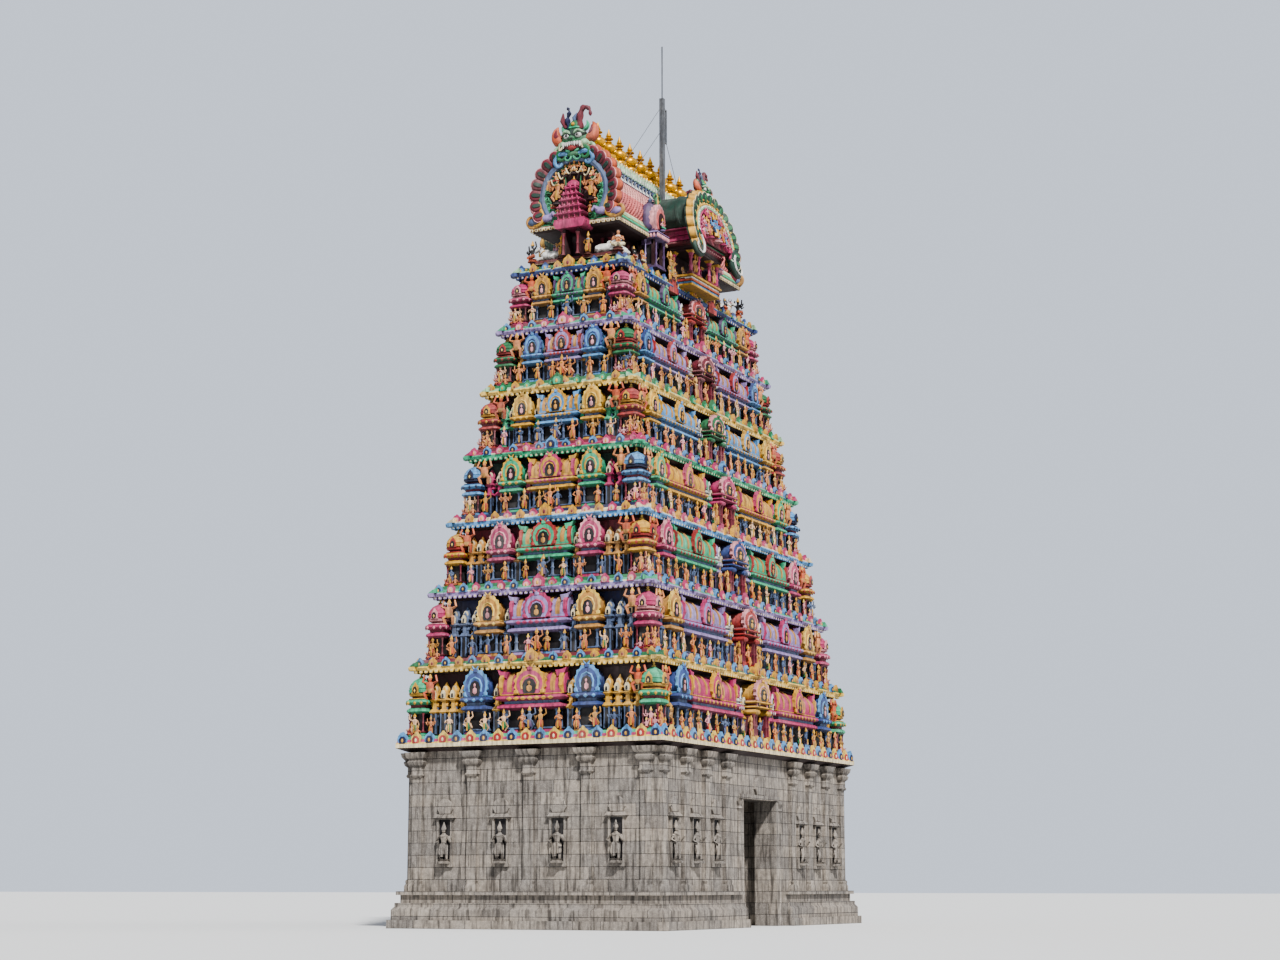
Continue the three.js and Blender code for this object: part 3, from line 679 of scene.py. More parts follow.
def grown(name, tree, base, colours, **inputs):
    """Runs a tree on a base mesh and gives back its result as a plain mesh"""
    holder = add_object(name, base)
    modifier = holder.modifiers.new("Tree", "NODES")
    modifier.node_group = tree
    first = next(iter(colours.values()))
    values = {role.capitalize(): material_of(colours.get(role, first)) for role in ROLES}
    values.update({key.capitalize().replace("_", " "): value for key, value in inputs.items()})
    for item in tree.interface.items_tree:
        if item.in_out == "INPUT" and item.name in values:
            modifier[item.identifier] = values[item.name]
    graph = bpy.context.evaluated_depsgraph_get()
    mesh = bpy.data.meshes.new_from_object(holder.evaluated_get(graph))
    bpy.data.objects.remove(holder)
    mesh.name = name
    return tidy_slots(mesh)


def tidy_slots(mesh):
    """Keeps only the materials that some face uses, and drops the pattern's numbers"""
    index = np.zeros(len(mesh.polygons), np.int32)
    mesh.polygons.foreach_get("material_index", index)
    kept, order = np.unique(index, return_inverse=True)
    materials = [mesh.materials[i] for i in kept]
    mesh.materials.clear()
    for material in materials:
        mesh.materials.append(material)
    mesh.polygons.foreach_set("material_index", order.astype(np.int32))
    for spare in ("role", "turn", "stretch", "pick"):
        if spare in mesh.attributes:
            mesh.attributes.remove(mesh.attributes[spare])
    return mesh


def places_mesh(places):
    """Points for the copies: each place is (x, y, z, turn, stretch, pick)"""
    mesh = bpy.data.meshes.new("places")
    mesh.from_pydata([place[:3] for place in places], [], [])
    turns = [(0, 0, place[3]) for place in places]
    stretches = [place[4] for place in places]
    for name, values in (("turn", turns), ("stretch", stretches)):
        attribute = mesh.attributes.new(name, "FLOAT_VECTOR", "POINT")
        attribute.data.foreach_set("vector", np.array(values, np.float32).ravel())
    picks = np.array([place[5] for place in places], np.int32)
    mesh.attributes.new("pick", "INT", "POINT").data.foreach_set("value", picks)
    return mesh


PATTERNS = {}


def pattern_set(name, *makers):
    """A hidden collection of patterns, made once"""
    if name not in PATTERNS:
        group = bpy.data.collections.new(name)
        for i, maker in enumerate(makers):
            mesh = to_mesh(f"{name}_{i}", maker(), ROLES)
            group.objects.link(bpy.data.objects.new(f"{name}_{i}", mesh))
        PATTERNS[name] = group
    return PATTERNS[name]


def copies(name, patterns, places, colours, slot):
    show(name, grown(name, copies_tree(), places_mesh(places), colours, patterns=patterns), slot)


def clear_patterns():
    for group in PATTERNS.values():
        for pattern in list(group.objects):
            bpy.data.objects.remove(pattern)
        bpy.data.collections.remove(group)
    PATTERNS.clear()


# Patterns in metres as on the top storey, drawn for the front: the wall stands at y = 0
def colonette(height=0.95, radius=0.042, paint="trim", sides=5):
    profile = [(1.6, 0), (1, 0.1), (0.85, 0.4), (1.35, 0.47), (0.8, 0.54), (0.9, 0.85), (1.9, 1)]
    return turned([(radius * r, height * z) for r, z in profile], sides, paint)


def horseshoe(half, height, count, scallop=0.0, z=0.0):
    """Outline of a horseshoe arch, counterclockwise from its right foot"""
    foot = 0.72 * half
    points = arc(1, 1, -28, 208, count)
    points *= (1 + scallop * (np.arange(count) % 2 * 2 - 1))[:, None]
    bow = points * (half, 0.58 * height) + (0, 0.42 * height)
    return np.concatenate([[(foot, 0)], bow, [(-foot, 0)]]) + (0, z)


def ogee(half, height):
    """Outline of a small pointed arch with flared feet"""
    right = [(1, 0.04), (0.72, 0.22), (0.8, 0.44), (0.62, 0.68), (0.24, 0.84)]
    return [(half * x, height * z) for x, z in right + [(0, 1)] + [(-x, z) for x, z in reversed(right)]]


def small_plate(half, height, thick):
    """A small pointed gable with a niche filled with painted shade, its back at y = 0"""
    front = -thick - 0.03
    s = slab(ogee(half, height), -thick, 0, "rim")
    # The niche is a near-black slab: painted shade
    s.put(slab(horseshoe(half * 0.56, height * 0.56, 6, z=0.03), front, -thick + 0.02, "deep"))
    return s.put(ball((0, front, height * 0.28), (half * 0.24, 0.03, height * 0.16), "jewel", 5, 1))


def arch_plate(half, height, thick=0.1):
    """A horseshoe gable with a frilled rim, a niche of painted shade and a bust, its back at y = 0"""
    front = -thick - 0.03
    s = slab(horseshoe(half, height, 19, 0.06), -thick, 0, "rim")
    s.put(slab(horseshoe(half * 0.84, height * 0.86, 11, z=0.02), front, -thick + 0.03, "roof"))
    bow = arc(half * 0.55, height * 0.34, -30, 210, 7, height * 0.36)
    s.put(tube([(x, front, z) for x, z in bow], 0.032, 4, "rim"))
    # The niche is a near-black slab: painted shade
    s.put(slab(horseshoe(half * 0.46, height * 0.56, 7, z=0.03), front - 0.012, front + 0.02, "deep"))
    s.put(ball((0, front - 0.02, height * 0.22), (half * 0.2, 0.035, height * 0.13), "jewel", 5, 2))
    s.put(ball((0, front - 0.03, height * 0.42), (half * 0.1, 0.035, height * 0.07), "jewel", 5, 2))
    s.put(ball((0, front + 0.01, height * 0.94), (half * 0.2, 0.06, height * 0.1), "body", 6, 2))
    for x in (-half, half):
        s.put(limb([(0.1 * x, front, height), (0.26 * x, front, height * 1.12)], 0.035, 0.01, "rim", 4))
        s.put(ball((0.86 * x, front + 0.02, height * 0.1), (half * 0.2, 0.06, height * 0.1), "rim", 5, 2))
    return s


def end_plate(half, height, thick):
    """A plainer horseshoe gable for the ends of a long shrine, its back at y = 0"""
    front = -thick - 0.03
    s = slab(horseshoe(half, height, 15, 0.06), -thick, 0, "rim")
    s.put(slab(horseshoe(half * 0.78, height * 0.82, 9, z=0.02), front, -thick + 0.03, "roof"))
    # The innermost arch is a near-black slab: painted shade of the niche
    s.put(slab(horseshoe(half * 0.46, height * 0.52, 6, z=0.03), front - 0.02, front + 0.02, "deep"))
    return s.put(ball((0, front - 0.02, height * 0.28), (half * 0.2, 0.04, height * 0.16), "jewel", 5, 1))


def kudu():
    """A little pointed arch that stands on a cornice"""
    s = slab(ogee(0.21, 0.38), -0.06, 0.06, "rim")
    s.put(slab(horseshoe(0.125, 0.22, 6, z=0.03), -0.09, -0.03, "roof"))
    return s.put(ball((0, -0.09, 0.12), (0.045, 0.03, 0.06), "jewel", 4, 2))


def lotus_leaf():
    """A drooping petal for the cornices' lips"""
    s = slab([(0.055, 0), (0.085, 0.07), (0.07, 0.13), (-0.07, 0.13), (-0.085, 0.07), (-0.055, 0)],
             -0.035, 0.02, "body")
    return s.put(slab([(0.03, 0.03), (0.03, 0.1), (-0.03, 0.1), (-0.03, 0.03)], -0.045, -0.02, "trim"))


def plinth(half_x, half_y, y):
    step, pad = [(0, 0.03), (0.05, 0.03), (0.07, 0), (0.11, 0)], [(0.11, -0.02), (0.13, 0.02), (0.17, 0.02)]
    s = moulded(half_x, half_y, step, "body", 0, y)
    return s.put(moulded(half_x, half_y, [*pad, (0.18, -0.03)], "trim", 0, y))


def roll_cornice(half_x, half_y, y=0.0, chamfer=0.0):
    """The two rolls of moulding under a mini shrine's roof"""
    s = Shape()
    rolls = [("body", [(0.7, -0.02), (0.73, 0.05), (0.77, 0.11), (0.83, 0.1), (0.88, 0.02)]),
             ("trim", [(0.86, -0.02), (0.98, -0.02)]),
             ("body", [(0.97, 0.02), (1.0, 0.1), (1.05, 0.14), (1.11, 0.12), (1.15, 0.02)]),
             ("rim", [(1.14, 0.02), (1.155, 0.05), (1.175, 0.04), (1.185, -0.02)])]
    for role, profile in rolls:
        s.put(moulded(half_x, half_y, profile, role, 0, y, chamfer))
    return s


def shrine_foot(half_x, half_y, y, core, columns):
    """The lower part of a mini shrine: plinth, a near-black core of painted shade, and slim columns at their
    places
    """
    s = plinth(half_x, half_y, y).put(block(*core, 0.15, 0.75, "deep"))
    for x, along in columns:
        s.put(colonette(0.55), moved(x, along, 0.17))
    return s


def mini_tower():
    """A slim two-stage turret that fills the gap between two shrines"""
    # The core between the two columns is near-black: painted shade of the recess
    s = moulded(0.11, 0.11, [(0, 0.02), (0.7, 0)], "deep")
    for x in (-0.1, 0.1):
        s.put(moulded(0, 0, [(0.08, 0.034), (0.5, 0.02), (0.7, 0.036)], "trim", x, -0.12))
    s.put(moulded(0.11, 0.11, [(0.68, 0.01), (0.74, 0.07), (0.84, 0)], "body"))
    s.put(moulded(0.08, 0.08, [(0.84, 0), (1.08, 0)], "roof"))
    s.put(moulded(0.1, 0.1, [(1.06, 0.01), (1.11, 0.06), (1.19, 0)], "body"))
    s.put(turned([(0.11, 1.19), (0.15, 1.3), (0.09, 1.44), (0.01, 1.56)], 6, "roof"))
    s.put(slab(horseshoe(0.1, 0.26, 6, z=1.16), -0.17, -0.1, "rim"))
    # The little niche is near-black: painted shade
    return s.put(slab(horseshoe(0.05, 0.14, 4, z=1.18), -0.19, -0.14, "deep"))


def kuta():
    """A corner shrine: square, with a ribbed dome"""
    columns = [(-0.3, -0.3), (-0.3, 0.3), (0.3, -0.3), (0.3, 0.3)]
    s = shrine_foot(0.36, 0.36, 0, (-0.24, 0.24, -0.24, 0.24), columns)
    s.put(roll_cornice(0.34, 0.34, chamfer=0.25))
    s.put(moulded(0.28, 0.28, [(1.16, 0), (1.3, 0)], "trim", chamfer=0.3))
    s.put(moulded(0.3, 0.3, [(1.22, 0), (1.25, 0.08), (1.3, 0.1), (1.33, 0.03)], "rim", chamfer=0.4))
    s.put(dome([(1.32, 0.34), (1.36, 0.41), (1.44, 0.43), (1.46, 0.39), (1.49, 0.41), (1.58, 0.38),
                (1.6, 0.34), (1.63, 0.34), (1.72, 0.26), (1.79, 0.13), (1.83, 0.05)], "roof"))
    s.put(turned([(0.05, 1.8), (0.1, 1.85), (0.03, 1.89), (0.06, 1.92), (0.01, 1.99)], 6, "jewel"))
    for turn in (FRONT, RIGHT, BACK, LEFT):
        s.put(small_plate(0.17, 0.36, 0.07), placed(turn, 0, 0.4, 1.3))
        for x in (-0.3, 0.0, 0.3):
            s.put(ball((x, -0.47, 1.03), (0.07, 0.04, 0.06), "rim", 5, 1), spin(turn))
    return s


def panjara():
    """An arched shrine: a tall horseshoe gable over two columns"""
    columns = [(-0.26, -0.52), (-0.26, -0.2), (0.26, -0.52), (0.26, -0.2)]
    s = shrine_foot(0.31, 0.3, -0.3, (-0.24, 0.24, -0.4, 0.02), columns)
    s.put(roll_cornice(0.3, 0.28, -0.3))
    for x in (-0.24, 0, 0.24):
        s.put(ball((x, -0.71, 1.04), (0.075, 0.04, 0.06), "rim", 5, 1))
    s.put(slab(horseshoe(0.34, 0.7, 15, z=1.16), -0.5, 0.02, "roof"))
    return s.put(arch_plate(0.37, 0.84), moved(0, -0.5, 1.14))


def shala(half, columns):
    """A long shrine: a barrel roof with gabled ends over a row of columns"""
    row = [(x, -0.46) for x in np.linspace(0.1 - half, half - 0.1, columns)]
    s = shrine_foot(half - 0.03, 0.27, -0.27, (0.12 - half, half - 0.12, -0.3, 0.02), row)
    s.put(roll_cornice(half - 0.04, 0.25, -0.27))
    for x in np.linspace(0.2 - half, half - 0.2, columns * 2 - 1):
        s.put(ball((x, -0.65, 1.04), (0.075, 0.04, 0.06), "rim", 5, 1))
    section = [(0.02, 1.2), (0.02, 1.86), *arc(0.55, 0.5, 90, 200, 10, 1.36)]
    s.put(bar(section, 0.04 - half, half - 0.04, "roof"))
    eaves = [(0.02, 1.16), (0.02, 1.24), (-0.5, 1.26), (-0.57, 1.24), (-0.55, 1.16)]
    s.put(bar(eaves, 0.02 - half, half - 0.02, "body"))
    proud = [(y * 1.05, z + 0.03) if y < 0 else (y, z) for y, z in section]
    for share in (-0.72, -0.4, 0.4, 0.72):
        s.put(bar(proud, share * half - 0.05, share * half + 0.05, "jewel"))
    wing = slab([(0.0, 0.5), (0.16, 0.62), (0.2, 0.78), (0.12, 0.72), (-0.04, 0.7)], -0.5, -0.3, "roof")
    for side in (-1, 1):
        end = side * (half - 0.04)
        s.put(end_plate(0.34, 0.76, 0.08), moved(end, -0.26, 1.16, turn=side * math.pi / 2))
        s.put(wing, moved(end - 0.06 * side, 0, 1.16, (side, 1, 1)))
    return s.put(arch_plate(0.33, 0.82, 0.14), moved(0, -0.52, 1.15))


def portal():
    """The shrine over the doorway in the middle of a long side"""
    s = Shape()
    for side in (-1, 1):
        x = 0.58 * side
        s.put(moulded(0.15, 0.38, [(0, 0.02), (0.08, 0.02), (0.1, 0), (0.2, 0)], "body", x, -0.38))
        s.put(block(x - 0.13, x + 0.13, -0.6, 0.02, 0.18, 1.08, "trim"))
        for along in (0.49, 0.7):
            s.put(colonette(0.72, 0.055), moved(along * side, -0.68, 0.17))
        rolls = [(0.86, 0.0), (0.9, 0.05), (0.95, 0.07), (1.01, 0.04), (1.04, 0)]
        s.put(moulded(0.14, 0.38, rolls, "body", x, -0.38))
        s.put(small_plate(0.2, 0.34, 0.08), moved(0.5 * side, -0.74, 1.1))
    s.put(block(-0.6, 0.6, -0.5, 0.02, 1.08, 1.3, "trim"))
    s.put(roll_cornice(0.68, 0.36, -0.38), moved(0, 0, 0.668, (1, 1, 0.56)))
    s.put(slab(horseshoe(0.62, 0.6, 11, z=1.3), -0.62, 0.02, "roof"))
    return s.put(arch_plate(0.72, 0.7, 0.13), moved(0, -0.66, 1.3))


ARM_POSES = {
    "bless": [((0.13, 0, 0.64), (0.2, -0.03, 0.5), (0.17, -0.14, 0.62))],
    "hip": [((0.13, 0, 0.64), (0.22, 0.01, 0.53), (0.11, -0.06, 0.47))],
    "raised": [((0.13, 0, 0.65), (0.24, 0, 0.72), (0.22, -0.03, 0.9))],
    "hang": [((0.13, 0, 0.64), (0.18, 0, 0.5), (0.17, -0.04, 0.36))],
    "folded": [((0.13, 0, 0.64), (0.17, -0.05, 0.53), (0.02, -0.13, 0.6))],
    "many": [((0.13, 0, 0.64), (0.2, -0.03, 0.5), (0.17, -0.14, 0.58)),
             ((0.13, 0, 0.66), (0.25, 0.02, 0.66), (0.24, 0, 0.84)),
             ((0.13, 0, 0.65), (0.27, 0.02, 0.56), (0.34, 0, 0.68))],
}


def figure(right, left, stance="straight", look=None, sides=8, crown=True):
    """A standing, dancing or seated figure, 0.98 high with its pedestal and crown"""
    s = turned([(0.17, 0), (0.18, 0.035), (0.13, 0.06), (0.16, 0.1)], sides, "roof")
    low = -0.2 if stance == "seated" else 0.0
    if stance == "seated":
        for side in (-1, 1):
            lap = [(0.04 * side, 0, 0.22), (0.17 * side, -0.06, 0.2), (0.06 * side, -0.16, 0.15)]
            s.put(limb(lap, 0.075, 0.045, "trim", sides - 2))
    else:
        bend, lift = (0.11, 0.16) if stance == "dance" else (0.01, 0.0)
        right_leg = [(0.06, 0, 0.45), (0.08 + bend, -0.03, 0.28), (0.07, 0, 0.1)]
        left_leg = [(-0.06, 0, 0.45), (-0.08 - bend, -0.05, 0.28 + lift),
                    (-0.07 + bend, -0.1 * bend, 0.1 + lift)]
        for leg in (right_leg, left_leg):
            s.put(limb(leg, 0.062, 0.04, "body", sides - 2))
        cloth = [(0.22, 0.1, 0.07), (0.32, 0.12, 0.085), (0.44, 0.105, 0.075), (0.48, 0.08, 0.06)]
        s.put(oval(cloth, "trim", sides))
        s.put(block(-0.025, 0.025, -0.1, -0.06, 0.16, 0.46, "rim"))
    body = [(0.46, 0.08, 0.06), (0.52, 0.07, 0.052), (0.6, 0.1, 0.065), (0.66, 0.125, 0.06),
            (0.69, 0.06, 0.045), (0.72, 0.04, 0.04)]
    s.put(oval(body, "body", sides, 0, low))
    fine = sides > 5
    if fine:
        necklace = [(0.63, 0.09, 0.07), (0.65, 0.1, 0.075), (0.67, 0.08, 0.06)]
        s.put(oval(necklace, "jewel", sides, -0.01, low))
    s.put(ball((0, -0.01, 0.775 + low), (0.052, 0.055, 0.066), "body", sides, 3 if fine else 2))
    if crown:
        tiers = [(0.062, 0.8), (0.068, 0.83), (0.046, 0.88), (0.01, 0.98)]
        s.put(turned(tiers, sides, "rim"), moved(0, 0, low))
    else:
        s.put(ball((0, 0.01, 0.82 + low), (0.07, 0.06, 0.05), "deep", sides, 2))
    for pose, side in ((right, 1), (left, -1)):
        for path in ARM_POSES[pose]:
            arm = [(x * side, y, z + low) for x, y, z in path]
            s.put(limb(arm, 0.036, 0.026, "body", sides // 2 + 1))
    return s.painted(look)


def bearer():
    """A stout figure with raised arms that carries the cornice above"""
    s = Shape()
    for x in (-1, 1):
        leg = [(0.08 * x, 0, 0.34), (0.2 * x, -0.08, 0.26), (0.14 * x, 0, 0.03)]
        arm = [(0.16 * x, 0, 0.6), (0.3 * x, -0.03, 0.66), (0.22 * x, 0, 0.88)]
        s.put(limb(leg, 0.08, 0.05, "body", 5)).put(limb(arm, 0.055, 0.04, "body", 4))
    s.put(oval([(0.26, 0.1, 0.09), (0.34, 0.16, 0.12), (0.42, 0.14, 0.11)], "trim", 7))
    s.put(oval([(0.4, 0.14, 0.11), (0.5, 0.15, 0.13), (0.62, 0.17, 0.1), (0.66, 0.06, 0.06)], "body", 7))
    s.put(ball((0, -0.02, 0.73), (0.075, 0.075, 0.085), "body", 6, 3))
    return s.put(turned([(0.08, 0.77), (0.085, 0.8), (0.06, 0.84), (0.02, 0.92)], 6, "rim"))


def bull():
    """A reclining bull that faces +X"""
    s = block(-0.68, 0.72, -0.27, 0.27, 0, 0.05, "brown")
    back = [(-0.66, 0, 0.24), (-0.56, 0, 0.3), (-0.3, 0, 0.33), (0, 0, 0.32), (0.24, 0, 0.36),
            (0.4, 0, 0.42)]
    s.put(tube(back, [0.06, 0.2, 0.25, 0.24, 0.23, 0.15], 12, "white"))
    s.put(ball((0.14, 0, 0.57), (0.16, 0.09, 0.12), "white", 8, 4))
    s.put(tube([(0.28, 0, 0.4), (0.4, 0, 0.54), (0.48, 0, 0.7)], [0.2, 0.15, 0.11], 10, "white"))
    head = [(0.42, 0, 0.74), (0.56, 0, 0.74), (0.7, 0, 0.66), (0.78, 0, 0.6)]
    s.put(tube(head, [0.1, 0.115, 0.08, 0.06], 10, "white"))
    s.put(ball((0.79, 0, 0.6), (0.04, 0.06, 0.045), "slate", 8, 3))
    for side in (-1, 1):
        horn = [(0.46, 0.07 * side, 0.82), (0.44, 0.16 * side, 0.92), (0.48, 0.14 * side, 1.02)]
        s.put(limb(smooth_line(horn, 5), 0.032, 0.008, "brown", 5))
        s.put(ball((0.42, 0.17 * side, 0.76), (0.03, 0.08, 0.04), "blush", 6, 3))
        s.put(ball((0.6, 0.095 * side, 0.77), (0.022, 0.018, 0.022), "dark", 6, 1))
        foreleg = [(0.26, 0.2 * side, 0.2), (0.5, 0.24 * side, 0.16), (0.66, 0.22 * side, 0.1),
                   (0.48, 0.2 * side, 0.07)]
        s.put(limb(foreleg, 0.09, 0.045, "white", 8))
        thigh = [(-0.46, 0.18 * side, 0.28), (-0.22, 0.27 * side, 0.17), (-0.42, 0.26 * side, 0.09)]
        s.put(limb(thigh, 0.13, 0.05, "white", 8))
    garland = [(0.33 + 0.11 * math.sin(a), 0.19 * math.cos(a), 0.5 - 0.13 * math.sin(a))
               for a in np.linspace(0, 2 * math.pi, 13)]
    s.put(tube(garland, 0.025, 4, "gold"))
    tail = smooth_line([(-0.64, 0, 0.36), (-0.72, 0.08, 0.2), (-0.6, 0.22, 0.1)], 7)
    return s.put(limb(tail, 0.03, 0.02, "white", 5))


def volute(start, middle, turns, size, radius, paint, sign, count, sides):
    """A scroll in X and Z that starts at a point and curls round another"""
    middle = np.array(middle, float)
    gap = np.array(start, float) - middle
    shares = np.linspace(0, 1, count)
    reach = np.linalg.norm(gap) * (1 - shares) ** 1.3 + size * 0.12
    angle = math.atan2(gap[1], gap[0]) + sign * turns * 2 * math.pi * shares
    x, z = middle[0] + reach * np.cos(angle), middle[1] + reach * np.sin(angle)
    return limb(np.stack([x, 0 * angle, z], axis=-1), radius, radius * 0.35, paint, sides)


def mask():
    """A lion mask with horns, 2.3 high on its chin and about 1.9 wide, that crowns an arch"""
    s = Shape()
    for row in [
            ((0, 0, 0.78), (0.66, 0.3, 0.5), "green", 18, 9),
            ((0, -0.14, 1.04), (0.6, 0.22, 0.22), "deep_green", 16, 5),
            ((0, -0.2, 0.5), (0.42, 0.16, 0.16), "wine", 14, 5),
            ((0, -0.3, 0.42), (0.2, 0.14, 0.12), "red", 10, 4),
            ((0, -0.16, 0.18), (0.3, 0.18, 0.15), "green", 12, 5),
            ((0, -0.34, 0.8), (0.15, 0.18, 0.13), "green", 10, 5),
            ((0, -0.24, 1.46), (0.08, 0.07, 0.09), "gold", 8, 3)]:
        s.put(ball(*row))
    lip = [(-0.46, -0.26, 0.52), (-0.24, -0.38, 0.66), (0, -0.42, 0.68), (0.24, -0.38, 0.66),
           (0.46, -0.26, 0.52)]
    s.put(tube(smooth_line(lip, 9), 0.05, 6, "green"))
    for i, x in enumerate(np.linspace(-0.38, 0.38, 8)):
        drop = 0.16 + 0.07 * (i in (0, 7)) + 0.03 * (i in (2, 5))
        tooth = [(0.058, 0.64), (0.05, 0.58), (0.034, 0.64 - drop * 0.8), (0.006, 0.64 - drop)]
        s.put(turned(tooth, 5, "white", x, -0.42 + 0.5 * x * x))
    cheek = mask_cheek()
    for side in (-1, 1):
        s.put(cheek, moved(size=(side, 1, 1)))
    cap = [(1.2, 0.2, 0.2), (1.3, 0.24, 0.22), (1.52, 0.22, 0.2), (1.64, 0.12, 0.12)]
    s.put(stacked(cap, "green", 0, -0.02, 0.4))
    s.put(stacked([(1.3, 0.26, 0.24), (1.36, 0.26, 0.24)], "mint", 0, -0.02, 0.4))
    left = smooth_line([(-0.2, 0, 1.3), (-0.34, -0.06, 1.7), (-0.24, -0.1, 2.05), (-0.36, -0.08, 2.3)], 14)
    s.put(tube(left, np.linspace(0.14, 0.03, 14) + 0.035 * np.sin(np.arange(14) * 1.8), 7, "navy"))
    s.put(tube([(-0.42, 0, 1.4), (-0.58, -0.04, 1.74), (-0.56, -0.04, 2.06)], [0.1, 0.12, 0.03], 7, "wine"))
    right = smooth_line([(0.2, 0, 1.3), (0.24, -0.06, 1.8), (0.42, -0.1, 2.16), (0.68, -0.1, 2.06),
                         (0.74, -0.08, 1.76)], 18)
    s.put(tube(right, np.linspace(0.17, 0.05, 18) + 0.025 * np.sin(np.arange(18) * 1.7), 7, "wine"))
    crest = [(0.02, 0, 1.5), (-0.02, -0.06, 1.8), (0.1, -0.06, 1.98)]
    return s.put(tube(crest, [0.1, 0.1, 0.03], 7, "slate"))


def mask_cheek():
    """What the mask has at its right and, mirrored, at its left: eye, brow, tusk, scrolls and ear"""
    s = Shape()
    for row in [
            ((0.26, -0.25, 0.95), (0.16, 0.12, 0.13), "white", 12, 5),
            ((0.25, -0.36, 0.95), (0.06, 0.03, 0.06), "dark", 8, 3),
            ((0.5, -0.14, 0.62), (0.22, 0.18, 0.17), "pale_green", 12, 5),
            ((0.07, -0.5, 0.76), (0.05, 0.05, 0.04), "deep_green", 6, 3)]:
        s.put(ball(*row))
    for points, radii, sides, tint in [
            ([(0.06, -0.32, 1.02), (0.28, -0.35, 1.14), (0.52, -0.22, 1.04)],
             [0.03, 0.05, 0.07, 0.07, 0.07, 0.06, 0.04, 0.02], 6, "pale_green"),
            ([(0.42, -0.3, 0.5), (0.54, -0.4, 0.34), (0.5, -0.44, 0.6)], np.linspace(0.05, 0.012, 7),
             6, "cream"),
            ([(0.56, 0, 0.72), (0.84, -0.02, 0.94), (0.9, 0, 1.3), (0.8, 0, 1.52)],
             [0.14, 0.22, 0.24, 0.23, 0.2, 0.17, 0.12, 0.07, 0.02], 9, "orange"),
            ([(0.72, -0.16, 0.92), (0.84, -0.18, 1.1), (0.82, -0.14, 1.34)],
             [0.03, 0.09, 0.1, 0.08, 0.05, 0.02], 6, "wine"),
            ([(0.42, -0.02, 1.2), (0.58, 0, 1.4), (0.52, 0, 1.62)], [0.08, 0.11, 0.1, 0.08, 0.05, 0.015],
             6, "mint")]:
        s.put(tube(smooth_line(points, len(radii)), radii, sides, tint))
    s.put(volute((0.46, 0.42), (0.5, 0.16), 1.2, 0.4, 0.11, "green", -1, 15, 7), moved(0, -0.16))
    s.put(volute((0.3, 0.3), (0.26, 0.06), 1.0, 0.4, 0.07, "mint", 1, 12, 6), moved(0, -0.24))
    return s.put(volute((0.62, 0.5), (0.76, 0.36), 1.1, 0.3, 0.1, "pale_green", -1, 15, 7), moved(0, -0.08))


def petal():
    """A broad leaf of an arch's crown: thick, ribbed at its side, with an outlined face"""
    half = np.array([(0.3, 0), (0.42, 0.3), (0.46, 0.6), (0.4, 0.84), (0.2, 0.98)])
    outline = np.concatenate([half, [(0.0, 1.02)], (half * (-1, 1))[::-1]])
    middle = np.array([0, 0.5])
    s = Shape()
    for tint, rings in [("deep", [(0.9, 0.42), (1, 0.3)]), ("trim", [(1, 0.3), (1, -0.16)]),
                        ("rim", [(1, -0.16), (0.97, -0.2), (0.9, -0.2)]),
                        ("body", [(0.9, -0.2), (0.78, -0.27), (0.6, -0.3)])]:
        layers = [np.insert(middle + (outline - middle) * share, 1, y, axis=1) for share, y in rings]
        s.put(skin(layers, tint, tint == "deep", tint == "body"))
    return s.put(slab(middle + (outline - middle) * (0.36, 0.62), -0.36, -0.28, "jewel", 0.05))


# Places
WALL_IN = 0.45  # from the cornice's edge back to the wall
LIP_FOOT, LIP_TOP = 0.14, 0.29  # of a cornice, over its underside
FIGURES_OUT = 0.62  # from the wall out to the row of figures
DOOR_HALF, DOOR_SHARE = 0.4, 0.56  # half its width, and its share of the wall's height
COLUMNS_FROM, FIGURES_FROM = 0.7, 0.85  # where these rows start, from the middle of a doorway
CORNER_IN = 0.18  # from the cornice's corner back to the middle of a corner shrine
FINE_FROM = 5  # the lowest storey whose figures are finer
TOP_ROW_X, TOP_ROW_Y, ROW_OUT = 6.68, 2.7, 0.25  # where the top storey's rows end, past its cornice


class Storey:
    """Where a storey's walls, rows and cornice are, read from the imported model"""

    def __init__(self, number):
        floor = "base_cornice" if number == 1 else f"storey_{number - 1}_cornice"
        cornice_low, cornice_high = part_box(f"storey_{number}_cornice")
        self.number = number
        self.name = f"storey_{number}"
        self.look = LOOKS[number - 1]
        self.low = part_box(floor)[1].z
        self.high = cornice_low.z
        self.rise = (self.high - self.low) / RISE
        self.reach = (cornice_high.x, cornice_high.y)
        self.face = (cornice_high.x - WALL_IN, cornice_high.y - WALL_IN)
        self.lip_low = self.high + LIP_FOOT
        self.lip_high = self.high + LIP_TOP
        self.top = cornice_high.z
        self.spread = (cornice_high.x + ROW_OUT) / TOP_ROW_X, (cornice_high.y + ROW_OUT) / TOP_ROW_Y

    def sides(self):
        """Each side's turn, half length, distance from the middle, and its wall's distance"""
        return [(*side, face) for side, face in zip(sides_of(*self.reach), self.face[::-1] * 2)]

    def show(self, part, patterns, places, colours, slot):
        copies(f"{self.name}_{part}", patterns, places, colours, slot)


def sides_of(reach_x, reach_y):
    """Each side's turn, its half length and its distance from the middle"""
    return [(turn, *((reach_x, reach_y) if turn in (FRONT, BACK) else (reach_y, reach_x)))
            for turn in (FRONT, RIGHT, BACK, LEFT)]


def spot(turn, along, away, z, stretch=1, pick=0, twist=0.0):
    """A point of a side, with the turn, stretch and pick of the copy that stands there"""
    point = placed(turn, along, away, z).translation
    return (*point, turn + twist, np.broadcast_to(stretch, 3), pick)


